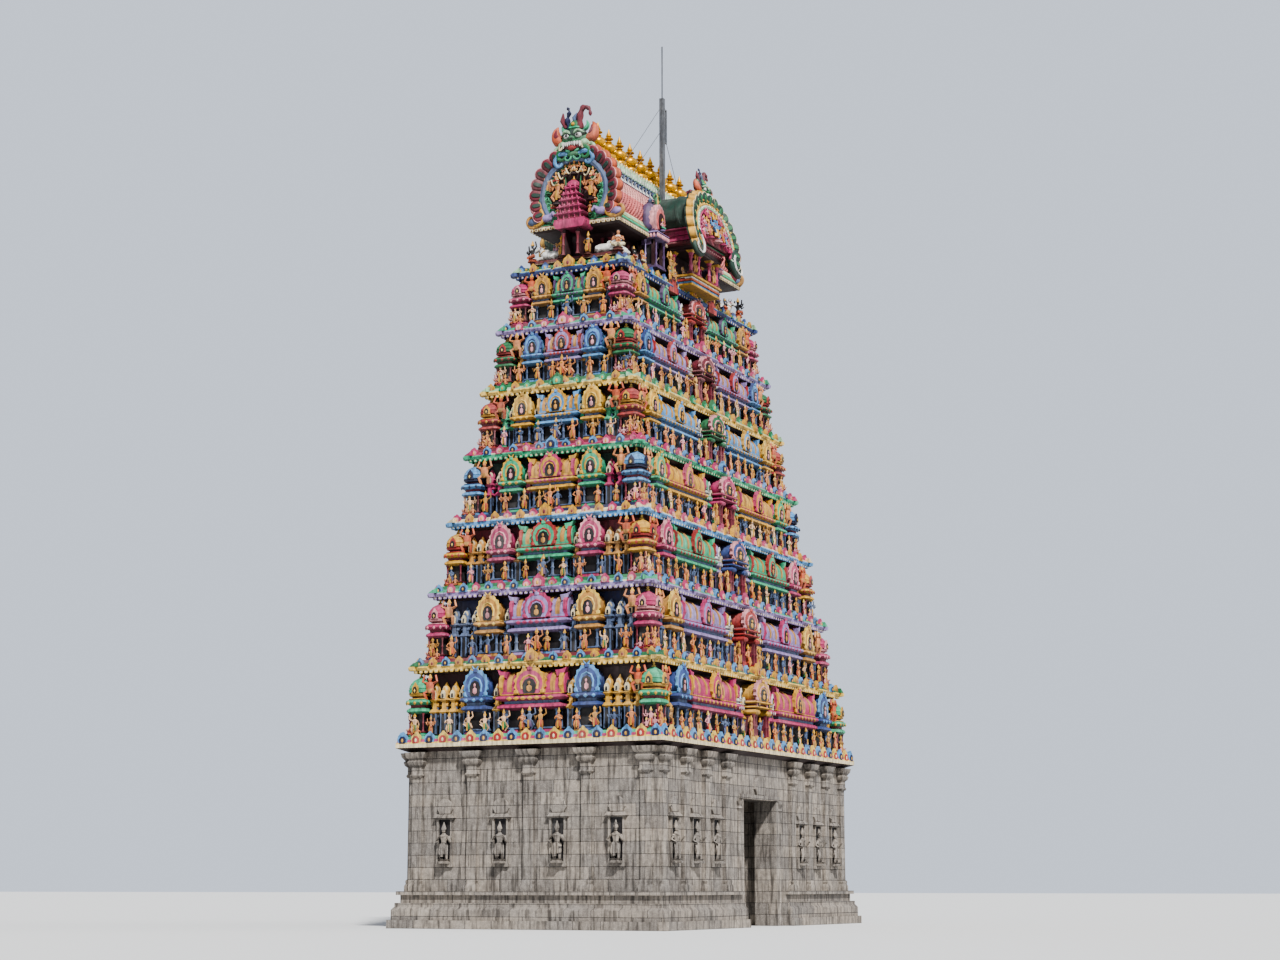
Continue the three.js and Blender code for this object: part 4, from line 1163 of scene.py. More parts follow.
def spaced(half, pitch, inset=0.0):
    """Evenly spaced places along a side, symmetric about its middle"""
    count = max(2, round(2 * (half - inset) / pitch))
    return np.linspace(inset - half, half - inset, count + 1)


# Paints of the storeys, from the first to the seventh
KINDS = ["kuta", "kuta rim", "panjara", "panjara rim", "shala", "shala rim", "portal", "turret",
         "roof turret", "edge", "slope", "top", "wall"]
# The wall column gives dark hues, near-black on the top storey: the walls' colour and painted shade of the
# recess
LOOKS = [dict(zip(KINDS, row.split())) for row in (
    "mint gold blue sky rose gold gold gold rose yellow green wine maroon",
    "rose blush ochre yellow lavender rose red slate gold lavender mint green navy",
    "gold red rose blush mint red blue ochre lavender sky cream navy wine",
    "sky navy mint gold gold rose rose rose mint mint rose wine deep_green",
    "red gold gold yellow sky gold green mint blue yellow pale_green green maroon",
    "green red sky blue lavender red wine ochre ochre lavender mint wine navy",
    "rose blush ochre gold mint purple red slate lavender blue pale_green maroon dark")]


def shrine_colours(roof, rim, jewel, trim="slate"):
    return tints(roof, trim, roof, jewel, rim)


# Half the width at which each shrine is drawn
DRAWN = {"kuta": 0.43, "turret": 0.29, "panjara": 0.36, "shala": 1.43, "short": 0.64, "portal": 0.74}


def row_of(s, turn):
    """The mini shrines along one side: kind, place along the side and half width"""
    wide, narrow = s.spread
    if turn in (FRONT, BACK):
        row = [("kuta", CORNER_IN - s.reach[0], 1), ("panjara", -5.05 * wide, wide),
               ("shala", -2.95 * wide, wide), ("turret", -1.13 * wide, 1), ("portal", 0, 1)]
    else:
        row = [("kuta", CORNER_IN - s.reach[1], 1), ("panjara", -1.19 * narrow, math.sqrt(narrow)),
               ("short", 0, narrow)]
    row += [(kind, -u, stretch) for kind, u, stretch in reversed(row[:-1])]
    return [(kind, u, DRAWN[kind] * stretch) for kind, u, stretch in row]


def storey_walls(s):
    """Four walls with a doorway in each long side, and a moulding at their foot"""
    shape = Shape()
    # The wall paint is a dark hue, near-black on the top storey: its own colour and painted shade of the
    # recess behind the shrines
    thick, tall, tint = 0.6, s.high - s.low, s.look["wall"]
    moulding = [(0.01, 0), (0.01, 0.16), (-0.05, 0.16), (-0.09, 0.1), (-0.09, 0)]
    for turn, half, _, face in s.sides():
        side = placed(turn, 0, face, s.low)
        end = half - WALL_IN
        if turn in (FRONT, BACK):
            shape.put(block(-DOOR_HALF, DOOR_HALF, 0, thick, DOOR_SHARE * tall, tall, tint), side)
            lengths, inner = ((-end, -DOOR_HALF), (DOOR_HALF, end)), 0
        else:
            lengths, inner = ((-end, end),), thick
        for left, right in lengths:
            shape.put(block(left + inner, right - inner, 0, thick, 0, tall, tint), side)
            shape.put(bar(moulding, left, right, s.look["shala"]), side)
    piece_of(f"{s.name}_walls", shape, "stucco_maroon", f"{s.name}_shrines")


def storey_shrines(s):
    """The mini shrines of a storey: domes at the corners, arched, long and portal ones between"""
    shrines = pattern_set("shrines", kuta, panjara, lambda: shala(DRAWN["shala"], 6),
                          lambda: shala(DRAWN["short"], 4), portal)
    rows = {"kuta": [], "turret": [], "panjara": [], "shala": [], "portal": []}
    picks = {"panjara": 1, "shala": 2, "short": 3, "portal": 4}
    for turn, half, away, face in s.sides():
        rows["kuta"].append(spot(turn, half - CORNER_IN, away - CORNER_IN, s.low, (1, 1, s.rise)))
        for kind, u, width in row_of(s, turn):
            if kind == "turret":
                rows["turret"].append(spot(turn, u, face + 0.23, s.low, (0.67, 0.67, s.rise), 0))
            elif kind != "kuta":
                row = rows["shala" if kind == "short" else kind]
                row.append(spot(turn, u, face, s.low, (width / DRAWN[kind], 1, s.rise), picks[kind]))
    look = s.look
    for kind, colours, slot in [
            ("kuta", shrine_colours(look["kuta"], look["kuta rim"], "yellow", "wine"), "stucco_rose"),
            ("turret", shrine_colours(look["roof turret"], "white", "gold", "purple"), "stucco_lavender"),
            ("panjara", shrine_colours(look["panjara"], look["panjara rim"], "blush"), "stucco_gold"),
            ("shala", shrine_colours(look["shala"], look["shala rim"], "ochre"), "stucco_mint"),
            ("portal", shrine_colours(look["portal"], "blush", "gold", "wine"), "stucco_rose")]:
        s.show(f"{kind}s", shrines, rows[kind], colours, slot)


def gaps_of(s, turn):
    """Places for the slim turrets, between the mini shrines of a side"""
    row = row_of(s, turn)
    places = []
    for (_, u, width), (_, v, other) in zip(row, row[1:]):
        left, right = u + width, v - other
        if right - left > 0.06:
            count = max(1, round((right - left) / 0.42))
            places += [left + (right - left) * (n + 0.5) / count for n in range(count)]
    return places


def cornice_bays(s):
    """Short blocks that bring the cornice forward over each mini shrine"""
    shape = Shape()
    low, high = s.lip_low, s.lip_high
    lip = [(0.1, low), (0.1, high), (-0.12, high), (-0.14, high - 0.05), (-0.08, low)]
    slope = [(0.2, high), (0.2, high + 0.2), (-0.06, high + 0.06), (-0.12, high)]
    for turn, _, away, _ in s.sides():
        for _, u, width in row_of(s, turn):
            width = min(width, 0.9)
            place = placed(turn, u, away)
            shape.put(bar(lip, -width, width, s.look["edge"]), place)
            shape.put(bar(slope, 0.03 - width, width - 0.03, s.look["slope"]), place)
    piece_of(f"{s.name}_cornice_bays", shape, "stucco_lavender")


def arch_tints(rim, roof, jewel="gold"):
    return {"rim": rim, "roof": roof, "jewel": jewel}


WARM, COOL, PALE = arch_tints("gold", "ochre", "wine"), arch_tints("blue", "sky"), arch_tints("sky", "navy")
PINK, LEAFY = arch_tints("rose", "blush"), arch_tints("green", "mint")
ARCH_PAIRS = [(WARM, PALE), (PINK, PALE), (WARM, PINK), (PALE, PINK), (LEAFY, WARM), (PINK, PALE),
              (WARM, COOL)]


def storey_rows(s):
    """Rows on a storey: slim columns, turrets, little arches and drooping petals"""
    settings = sizes()
    thin, slim, first, second, drops = [], [], [], [], []
    for turn, half, away, face in s.sides():
        for u in spaced(half - 0.5, settings.colonette_pitch):
            if turn in (RIGHT, LEFT) or abs(u) > COLUMNS_FROM:
                thin.append(spot(turn, u, face + 0.08, s.low + 0.12, (1, 1, s.rise * 0.85)))
        for u in gaps_of(s, turn):
            slim.append(spot(turn, u, face + 0.24, s.low, (1, 1, s.rise)))
            slim.append(spot(turn, u, face + 0.1, s.low + 0.35, (1, 1, s.rise * 0.9)))
        for n, u in enumerate(spaced(half, settings.kudu_pitch, 0.2)):
            (first if n % 2 else second).append(spot(turn, u, away - 0.02, s.lip_high - 0.02))
        first.append(spot(turn, 0, away + 0.08, s.lip_high - 0.02, (1.5, 1.2, 1.4)))
        drops += [spot(turn, u, away + 0.02, s.lip_low - 0.1) for u in spaced(half, 0.23, 0.06)]
    columns, arches = pattern_set("columns", colonette), pattern_set("arches", kudu)
    s.show("columns", columns, thin, {"trim": "slate" if s.number % 2 else "ochre"}, "stucco_blue")
    s.show("gap_turrets", pattern_set("towers", mini_tower), slim,
           shrine_colours(s.look["turret"], "cream", "gold"), "stucco_blue")
    s.show("arches_a", arches, first, ARCH_PAIRS[s.number - 1][0], "stucco_gold")
    s.show("arches_b", arches, second, ARCH_PAIRS[s.number - 1][1], "stucco_blue")
    s.show("petals", pattern_set("leaves", lotus_leaf), drops, {"body": s.look["edge"], "trim": "cream"},
           "stucco_lavender")


FIGURE_LOOKS = [
    tints("skin", "orange", "ochre"),
    tints("ochre", "red", "sky", "cream"),
    tints("pale_skin", "green", "rose", "red", deep="navy"),
    tints("blush", "red", "mint", "white", "yellow"),
    tints("slate", "purple", "blush"),
]
POSES = [("bless", "hip"), ("raised", "bless"), ("many", "many"), ("hang", "raised"), ("folded", "folded")]
FINE_POSES = [*POSES, ("raised", "bless", "dance"), ("many", "many", "seated")]
PLAIN_POSES = [*POSES, ("raised", "hip", "dance"), ("bless", "bless", "seated")]


def figure_patterns(name, sides, poses):
    """The patterns of figures: five standing ones, a dancer and a seated one"""
    return pattern_set(name, *[lambda pose=pose: figure(*pose, sides=sides) for pose in poses])


def storey_figures(s):
    """Figures before the walls, groups at the corners, and bearers beside the corner domes"""
    if s.number >= FINE_FROM:
        patterns = figure_patterns("fine_figures", 6, FINE_POSES)
    else:
        patterns = figure_patterns("plain_figures", 5, PLAIN_POSES)
    settings = sizes()
    chance = random.Random(40 + s.number)
    rows = [[] for _ in FIGURE_LOOKS]
    carriers = []
    for turn, half, away, face in s.sides():
        long_side = turn in (FRONT, BACK)
        out = face + FIGURES_OUT
        for u in spaced(half + 0.05, settings.figure_pitch, 0.15):
            if long_side and abs(u) < FIGURES_FROM:
                continue
            tall = settings.figure_height * chance.uniform(0.88, 1.08)
            row = chance.choices(rows, [6, 4, 3, 2, 2])[0]
            u += chance.uniform(-0.08, 0.08)
            pick, twist = chance.randrange(6), chance.uniform(-0.3, 0.3)
            row.append(spot(turn, u, out, s.low, tall, pick, twist))
        high = s.low + 1.1 * s.rise
        for row, side in ((rows[0], -1), (rows[3], 1)):
            row.append(spot(turn, side * (half + 0.02), away + 0.16, s.low - 0.04, (0.85, 0.85, 0.8), 6))
            row.append(spot(turn, side * (half - 0.3), away + 0.22, s.low - 0.08, 0.7, 6))
            carriers.append(spot(turn, side * (half - 0.72), away + 0.04, high, (1.1, 1.1, 1.12)))
            if long_side:
                rows[1].append(spot(turn, side * 0.86, out, s.low, (1.05, 1.05, 1.1), 3))
                over = s.low + 1.3 * s.rise
                rows[0].append(spot(turn, side * 0.36, out + 0.16, over, 0.55, 4))
                carriers.append(spot(turn, side * 4.5 * s.spread[0], away - 0.16, high, 0.8))
        rows[4 if s.number % 2 else 0].append(spot(turn, 0, out + 0.02, s.low, (1.1, 1.1, 1.05), 5))
    for n, row in enumerate(rows):
        s.show(f"figures_{n + 1}", patterns, row, FIGURE_LOOKS[n], "stucco_gold")
    s.show("bearers", pattern_set("carriers", bearer), carriers,
           {"body": "orange" if s.number % 2 else "skin", "trim": "ochre", "rim": "gold"}, "stucco_gold")


def storey_cornice(s):
    """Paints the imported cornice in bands"""
    rise = s.top - s.high
    low, high = (s.lip_low - s.high) / rise, (s.lip_high - s.high) / rise
    bands = [(low * 0.7, "maroon"), (low, "wine"), (high, s.look["edge"]), (high + 0.1, "cream"),
             (high + 0.26, s.look["slope"]), (1, s.look["top"])]
    dress(f"{s.name}_cornice", banded(f"cornice {s.number}", bands, s.high, s.top))


# Roof
BARREL = [(1.66, 0.44), (1.70, 0.56), (1.745, 0.72), (1.755, 0.9), (1.73, 1.08), (1.66, 1.3), (1.56, 1.52),
          (1.42, 1.76), (1.25, 1.99), (1.08, 2.18), (0.9, 2.33)]


def roof_shell():
    """The barrel under the tiles, and its painted bands at the foot"""
    inner_foot = 0.4
    outer = [(-y, z) for y, z in BARREL] + [(y, z) for y, z in reversed(BARREL)]
    inner = [(y * 0.86, inner_foot + (z - inner_foot) * 0.88) for y, z in outer]
    shape = bar(outer[::-1] + inner, -ROOF_END, ROOF_END, "brown")
    for (y0, z0), (y1, z1), proud, tint in [
            ((2.04, 0.05), (1.97, 0.1), 0.015, "brown"), ((2.02, 0.1), (1.92, 0.26), 0.01, "mint"),
            ((1.92, 0.26), (1.88, 0.31), 0.02, "gold"), ((1.89, 0.31), (1.76, 0.47), 0.01, "pale_green"),
            ((1.78, 0.46), (1.74, 0.54), 0.025, "cream")]:
        section = [(-1.6, z0), (-1.6, z1), (-y1 - proud, z1), (-y0 - proud, z0)]
        for turn in (FRONT, BACK):
            shape.put(bar(section, -ROOF_END, ROOF_END, tint), spin(turn))
    piece_of("roof_shell", Shape().put(shape, moved(0, 0, EAVE_Z)), "roof_tile", "roof_vault")


def tile():
    """A raised lozenge with a square boss, one unit wide and laid flat"""
    layers = [[(half, 0, z), (0, 2 * half, z), (-half, 0, z), (0, -2 * half, z)]
              for half, z in ((0.49, -0.01), (0.37, 0.035))]
    return skin(layers, "body").put(stacked([(0.03, 0.1, 0.1), (0.055, 0.07, 0.07)], "jewel"))


def roof_tiles():
    """Lattice tiles over both slopes"""
    base = bpy.data.meshes.new("roof_profile")
    rail = [(0, -y - 0.004, EAVE_Z + z) for y, z in BARREL if z > 0.5]
    base.from_pydata(rail, [(i, i + 1) for i in range(len(rail) - 1)], [])
    shades = banded("tile lattice", [(0.5, "tile"), (1, "pale_tile")], EAVE_Z + 0.5, RIDGE_LOW)
    mesh = grown("roof_tiles_front", tiles_tree(), base, {"jewel": "wine"}, body=shades,
                 pattern=pattern_set("tile", tile).objects[0], length=2 * ROOF_END - 0.1,
                 tile_width=sizes().tile_width, tile_height=sizes().tile_height)
    show("roof_tiles_back", turned_copy(mesh, BACK), "roof_tile")
    show("roof_tiles_front", mesh, "roof_tile")


def scroll():
    """A leaf scroll for the ridge's carved panel, laid flat on XZ"""
    s = volute((-0.16, -0.12), (0.0, 0.02), 0.9, 0.2, 0.032, "body", -1, 9, 5)
    return s.put(ball((0.0, -0.01, 0.02), (0.045, 0.03, 0.045), "trim", 5, 2))


def upright_leaf():
    outline = [(0.07, 0), (0.11, 0.1), (0.09, 0.22), (0, 0.32), (-0.09, 0.22), (-0.11, 0.1), (-0.07, 0)]
    vein = [(0.04, 0.04), (0.05, 0.14), (0, 0.24), (-0.05, 0.14), (-0.04, 0.04)]
    return slab(outline, -0.05, 0.02, "body", 0.02).put(slab(vein, -0.07, -0.03, "trim"))


def curl_crest():
    """Two scrolls and a bud that stand on the ridge between finials"""
    s = turned([(0.06, 0), (0.09, 0.12), (0.04, 0.26), (0.06, 0.32), (0.01, 0.46)], 6, "trim")
    for side in (-1, 1):
        s.put(volute((0.02 * side, 0), (0.17 * side, 0.2), 1.0, 0.3, 0.05, "body", -side, 12, 6))
    return s


def ridge():
    """The ridge band: carved panel, dark lines and a slope of leaves up to the finials"""
    shape = Shape()
    for y0, z0, y1, z1, tint in [
            (0.95, 0, 0.96, 0.05, "navy"), (0.93, 0.05, 0.8, 0.42, "white"),
            (0.84, 0.42, 0.83, 0.47, "navy"), (0.8, 0.47, 0.62, 0.78, "pale_green"),
            (0.64, 0.78, 0.63, 0.83, "gold"),
            (0.58, 0.83, 0.45, 1.03, "cream"), (0.47, 1.03, 0.46, 1.07, "mint")]:
        shape.put(bar([(y0, z0), (y1, z1), (-y1, z1), (-y0, z0)], -ROOF_END, ROOF_END, tint),
                  moved(0, 0, RIDGE_LOW))
    piece_of("ridge_band_shell", shape, "stucco_cream", "ridge_band")
    scrolls, leaves = pattern_set("scrolls", scroll), pattern_set("upright_leaves", upright_leaf)
    for part, patterns, pitch, inset, away, z, stretch, body, trim in [
            ("scrolls", scrolls, 0.34, 0.15, 0.88, 0.24, 1.15, "slate", "navy"),
            ("leaves", leaves, 0.22, 0.1, 0.74, 0.5, 1, "pale_green", "white"),
            ("upper_leaves", leaves, 0.24, 0.1, 0.56, 0.82, (0.9, 0.8, 0.8), "cream", "pale_green")]:
        places = [spot(turn, u, away, RIDGE_LOW + z, stretch) for turn in (FRONT, BACK)
                  for u in spaced(ROOF_END, pitch, inset)]
        copies(f"ridge_{part}", patterns, places, {"body": body, "trim": trim}, "stucco_cream")
    between = [spot(FRONT, i - FINIALS / 2, 0.0, RIDGE_HIGH - 0.02) for i in range(FINIALS + 1)]
    copies("ridge_crests", pattern_set("crests", curl_crest), between, {"body": "cream", "trim": "ochre"},
           "stucco_cream")


def finial():
    """A gilt pot finial on a lotus seat: bulbs, rings, a wide disc and a cone"""
    seat = [(0.2, 0), (0.3, 0.02), (0.31, 0.07), (0.27, 0.1), (0.29, 0.14)]
    pot = [(0.34, 0.22), (0.35, 0.3), (0.32, 0.38), (0.25, 0.43), (0.23, 0.47), (0.27, 0.5), (0.33, 0.58),
           (0.345, 0.68), (0.32, 0.78), (0.24, 0.86)]
    rings = [(0.13, 0.9), (0.11, 0.93), (0.15, 0.96), (0.15, 0.99), (0.09, 1.02), (0.08, 1.06), (0.19, 1.1),
             (0.2, 1.12), (0.18, 1.15), (0.08, 1.18), (0.1, 1.21), (0.125, 1.25), (0.1, 1.31)]
    cone = [(0.05, 1.42), (0.03, 1.5), (0.012, 1.56)]
    s = turned(seat + pot + rings + cone, 22, "gilt")
    outline = [(0.045, 0), (0.07, 0.08), (0, 0.17), (-0.07, 0.08), (-0.045, 0)]
    leaf = slab(outline, -0.03, 0.03, "gilt", 0.015)
    for turn in np.linspace(0, 2 * math.pi, sizes().finial_petals, endpoint=False):
        for away, z, lean in ((0.27, 0.08, 0.5), (0.24, 0.44, 0.7)):
            s.put(leaf, spin(turn) @ moved(0, -away, z, lean=lean))
    return s.put(turned([(0.3, -0.02), (0.36, 0.0), (0.34, 0.05), (0.26, 0.07)], 16, "cream"))


def finials():
    pot = finial()
    for i in range(1, FINIALS + 1):
        low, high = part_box(f"finial_{i}")
        place = moved((low.x + high.x) / 2, 0, low.z)
        piece_of(f"gilt_pot_{i}", Shape().put(pot, place), "gilt", f"finial_{i}")


# Horseshoe fronts of the gables and the dormers
GABLE = {"ring": (1.5, 1.49), "middle": 1.26, "petal": (2.08, 1.93), "petal_middle": 1.38, "leg": 1.5,
         "foot": 0.07}
DORMER = {"ring": (1.75, 1.33), "middle": 0.52, "petal": (2.35, 2.02), "petal_middle": 0.56, "leg": 1.64,
          "foot": 0.09}


def arch_wall(arch, front, back, tint, share):
    """A flat oval front with straight legs, filled in"""
    wide, high = arch["petal"]
    leg = arch["leg"] * share
    bow = arc(wide * share, high * share, -24, 204, 31, arch["petal_middle"])
    outline = np.concatenate([[(leg, arch["foot"])], bow, [(-leg, arch["foot"])]])
    return slab(outline, front, back, tint, 0.03)


def arch_ring(arch, y, radius, tint, share, squash=1.0):
    wide, high = arch["ring"]
    path = arc(wide * share, high * share, -34, 214, 41, arch["middle"])
    return tube(np.insert(path, 1, y, axis=1), radius, 8, tint, squash)


def arch_beads(arch, y, count, first, tint, share, share_up=1.0, size=(0.045, 0.03, 0.045), rings=2):
    wide, high = arch["ring"]
    beads = Shape()
    for x, z in arc(wide * share, high * share_up, first, 180 - first, count, arch["middle"]):
        beads.put(ball((x, y, z), size, tint, 6, rings))
    return beads


def both(half):
    """A half and its mirror image"""
    return Shape().put(half).put(half, moved(size=(-1, 1, 1)))


def swag(width, drop, tint):
    path = [(width * t, 0, -drop * (1 - 4 * t * t)) for t in np.linspace(-0.5, 0.5, 9)]
    return tube(path, 0.035, 5, tint)


def foliage(size, shades):
    """A mound of leaf scrolls"""
    s = ball((0, 0.05, 0.34 * size), (0.66 * size, 0.12, 0.52 * size), shades[0], 12, 5)
    for x, z, sign, n in [(-0.5, 0.12, 1, 0), (0.45, 0.14, -1, 0), (-0.3, 0.55, 1, 1),
                          (0.32, 0.6, -1, 0), (0.0, 0.22, 1, 2), (0.0, 0.92, -1, 1)]:
        start = (x * size * 0.3, (z - 0.3) * size)
        curl = volute(start, (x * size, z * size), 1.1, 0.3, 0.12 * size, shades[n], sign, 11, 5)
        s.put(curl, moved(0, -0.05, 0))
    return s


def dressed_half(face, mounds, shades, hung, hung_tint, cast):
    """The right half of a front's foliage, swags and figures"""
    half = Shape()
    for n, (x, z, size, back) in enumerate(mounds):
        half.put(foliage(size, shades), moved(x, face - back - 0.02 * n, z))
    for x, z, width, drop in hung:
        half.put(swag(width, drop, hung_tint), moved(x, face - 0.16, z))
    for x, z, tall, away, look, *pose in cast:
        half.put(figure(*pose, look), moved(x, face - away, z, tall))
    return half


TAN, FAIR = tints("skin", "ochre", "maroon"), tints("skin", "red", "green", "cream")
BLUE, ROSY = tints("sky", "yellow", "blush", "red", deep="navy"), tints("skin", "red", "rose")


def gable_front():
    """The gable at a short end, drawn for the front with the ridge's end at y = -ROOF_END"""
    face, back = -ROOF_END - 0.33, -ROOF_END + 0.02
    mounds = [(1.22, 0.42, 0.5, 0.02), (0.98, 0.16, 0.42, 0.02), (1.4, 0.9, 0.42, 0.02),
              (1.3, 1.32, 0.26, 0.02)]
    hung = [(0.2, 2.36, 0.34, 0.26), (0.56, 2.22, 0.34, 0.3), (0.9, 1.95, 0.3, 0.26)]
    cast = [(0.78, 0.84, 1.3, 0.1, TAN, "many", "many", "dance"),
            (1.2, 1.36, 0.86, 0.1, FAIR, "raised", "bless", "straight"),
            (0.95, 0.62, 0.66, 0.1, FAIR, "bless", "hip", "seated"),
            (0.42, 2.0, 0.74, 0.1, TAN, "bless", "raised", "seated"),
            (0.86, 1.76, 0.72, 0.1, FAIR, "raised", "hip", "seated"),
            (0.74, 0.24, 0.62, 0.1, FAIR, "folded", "folded", "straight")]
    half = dressed_half(face, mounds, ("green", "mint", "deep_green"), hung, "cream", cast)
    for away, *curl in [
            (0.02, (1.72, 1.0), (2.0, 0.42), 0.95, 0.5, 0.15, "ochre", 1, 26, 10),
            (0.08, (1.58, 0.7), (1.82, 0.36), 0.9, 0.4, 0.11, "gold", 1, 20, 8),
            (0.16, (0.3, 2.86), (0.62, 2.6), 0.9, 0.4, 0.12, "sky", -1, 18, 8)]:
        half.put(volute(*curl), moved(0, face - away, 0))
    half.put(ball((1.25, face - 0.08, 0.36), (0.3, 0.14, 0.18), "lavender", 12, 7))
    neck = [(1.1, face - 0.1, 0.4), (0.95, face - 0.16, 0.52), (0.86, face - 0.2, 0.36)]
    half.put(limb(neck, 0.12, 0.05, "lavender", 8))
    stalk = [(0.3, face - 0.2, 0.9), (0.34, face - 0.2, 1.7), (0.36, face - 0.2, 1.95)]
    half.put(tube(stalk, [0.04, 0.035, 0.01], 6, "green"))
    s = both(half)
    for side, tint in ((-1, "slate"), (1, "lavender")):
        s.put(ball((1.9 * side, face - 0.08, 0.26), (0.28, 0.14, 0.17), tint, 12, 7))
    s.put(arch_wall(GABLE, face + 0.06, back, "wine", 0.86))
    s.put(arch_wall(GABLE, face + 0.02, back - 0.1, "maroon", 0.7))
    rings = [(0.04, 0.15, "slate", 0.98), (0.06, 0.045, "brown", 1.11), (0.02, 0.05, "green", 0.85)]
    for away, *ring in rings:
        s.put(arch_ring(GABLE, face - away, *ring))
    s.put(arch_beads(GABLE, face - 0.14, 26, -30, "navy", 0.98))
    s.put(block(-1.75, 1.75, face - 0.02, back, 0.02, 0.14, "green"))
    s.put(figure("many", "many", "seated", TAN), moved(0, face - 0.12, 2.06, 0.86))
    return s.put(mask(), moved(0, face - 0.02, 2.72))


def petals_of(name, arch, plane, colours):
    """The crown of leaves round an arch, made by its tree and set on its plane"""
    wide, high = arch["ring"]
    mesh = grown(name, crown_tree(), bpy.data.meshes.new("crown_base"), colours,
                 pattern=pattern_set("petal", petal).objects[0], count=17, half_width=wide * 1.03,
                 half_height=high * 1.06, middle=arch["middle"] + 0.02, first_angle=math.radians(-26),
                 last_angle=math.radians(206), lean=0.36, size=(arch["petal"][0] - wide) * 1.02)
    mesh.transform(Matrix.Translation((0, plane, EAVE_Z)))
    return mesh


def gables():
    front = gable_front()
    colours = {"body": "wine", "rim": "blush", "jewel": "deep_green", "trim": "orange"}
    petals = petals_of("gable_petals", GABLE, -ROOF_END - 0.26, colours)
    for turn, end in ((LEFT, "left"), (RIGHT, "right")):
        raised = Shape().put(front, placed(turn, 0, 0, EAVE_Z))
        piece_of(f"{end}_gable_front", raised, "stucco_gold", f"{end}_gable")
        show(f"{end}_gable_petals", turned_copy(petals, turn), "stucco_gold")


# Dormers
LEAN, LEAN_Z = 0.17, 2.7  # an arch's lean for each metre up, and the height where it stays in place
PORCH_HALF = 1.5
LEANED = Matrix(((1, 0, 0, 0), (0, 1, LEAN, -LEAN * (EAVE_Z + LEAN_Z)), (0, 0, 1, 0), (0, 0, 0, 1)))


def dormer_front():
    """A dormer's arch, upright: it is leant afterwards"""
    face, back = -3.13, -2.9
    mounds = [(1.28, 0.24, 0.46, 0.08), (1.1, 0.7, 0.4, 0.08), (0.66, 1.28, 0.34, 0.08)]
    hung = [(0.2, 1.62, 0.34, 0.22), (0.56, 1.5, 0.34, 0.26), (0.92, 1.24, 0.3, 0.24)]
    cast = [(0.62, 0.3, 0.95, 0.14, ROSY, "raised", "bless", "dance"),
            (1.08, 0.36, 0.7, 0.14, BLUE, "folded", "folded", "straight"),
            (0.5, 1.15, 0.5, 0.14, ROSY, "bless", "hip", "seated")]
    half = dressed_half(face, mounds, ("rose", "blush", "red"), hung, "gold", cast)
    half.put(slab([(1.6, -0.62), (2.02, -0.4), (1.86, 0.1), (1.62, 0.1)], face + 0.02, back, "deep_green"))
    coil = volute((1.86, 0.3), (2.06, -0.34), 1.0, 0.5, 0.17, "deep_green", 1, 26, 10)
    edge = volute((1.78, 0.1), (2.04, -0.34), 1.05, 0.4, 0.06, "white", 1, 24, 6)
    half.put(coil, moved(0, face - 0.02, 0)).put(edge, moved(0, face - 0.17, 0))
    s = both(half)
    s.put(arch_wall(DORMER, face + 0.02, back, "mint", 0.9))
    s.put(arch_wall(DORMER, face - 0.02, back - 0.1, "wine", 0.74))
    rings = [(0.06, 0.1, "pale_green", 0.97), (0.1, 0.05, "gold", 1.06), (0.09, 0.05, "rose", 0.87),
             (0.04, 0.07, "gold", 1.2, 1.4)]
    for away, *ring in rings:
        s.put(arch_ring(DORMER, face - away, *ring))
    s.put(arch_beads(DORMER, face - 0.15, 36, -32, "white", 0.97))
    s.put(arch_beads(DORMER, face - 0.1, 36, -32, "yellow", 1.21, 1.06, (0.07, 0.06, 0.07), 3))
    s.put(figure("many", "many", "dance", BLUE), moved(0, face - 0.16, 0.26, 1.3))
    return s.put(mask(), moved(0, face + 0.12, 1.98, 0.72))


def dormer_barrel():
    """The smooth barrel behind a dormer's arch, back in the roof and cut off along the lean"""
    half = [(1.6, 0.64), (1.76, 0.82), (1.83, 1.05), (1.84, 1.3), (1.74, 1.6), (1.54, 1.87), (1.26, 2.08),
            (0.9, 2.22), (0.45, 2.29)]
    outline = half + [(0, 2.3)] + [(-x, z) for x, z in reversed(half)]
    rings = [[(x * (1 + grow / 2), -away + leant * LEAN * (z - LEAN_Z), EAVE_Z + z + grow * (z > 1))
              for x, z in outline]
             for away, grow, leant in ((1.0, 0, 0), (2.3, 0, 1), (2.32, 0.03, 1), (2.42, 0.03, 1),
                                       (2.44, 0, 1), (2.9, 0, 1))]
    return skin(rings, "deep_green")


def pillar(tall):
    """A slim turned column with a square foot and a bracket on top"""
    s = stacked([(0, 0.12, 0.12), (0.1, 0.12, 0.12), (0.13, 0.09, 0.09)], "wine")
    profile = [(0.075, 0.1), (0.07, 0.3), (0.095, 0.36), (0.062, 0.42), (0.06, 0.66), (0.095, 0.72),
               (0.07, 0.78), (0.115, 0.86), (0.12, 0.9)]
    s.put(turned([(r, tall * z) for r, z in profile], 10, "rose"))
    return s.put(stacked([(tall * 0.9, 0.1, 0.1), (tall, 0.17, 0.17)], "gold"))


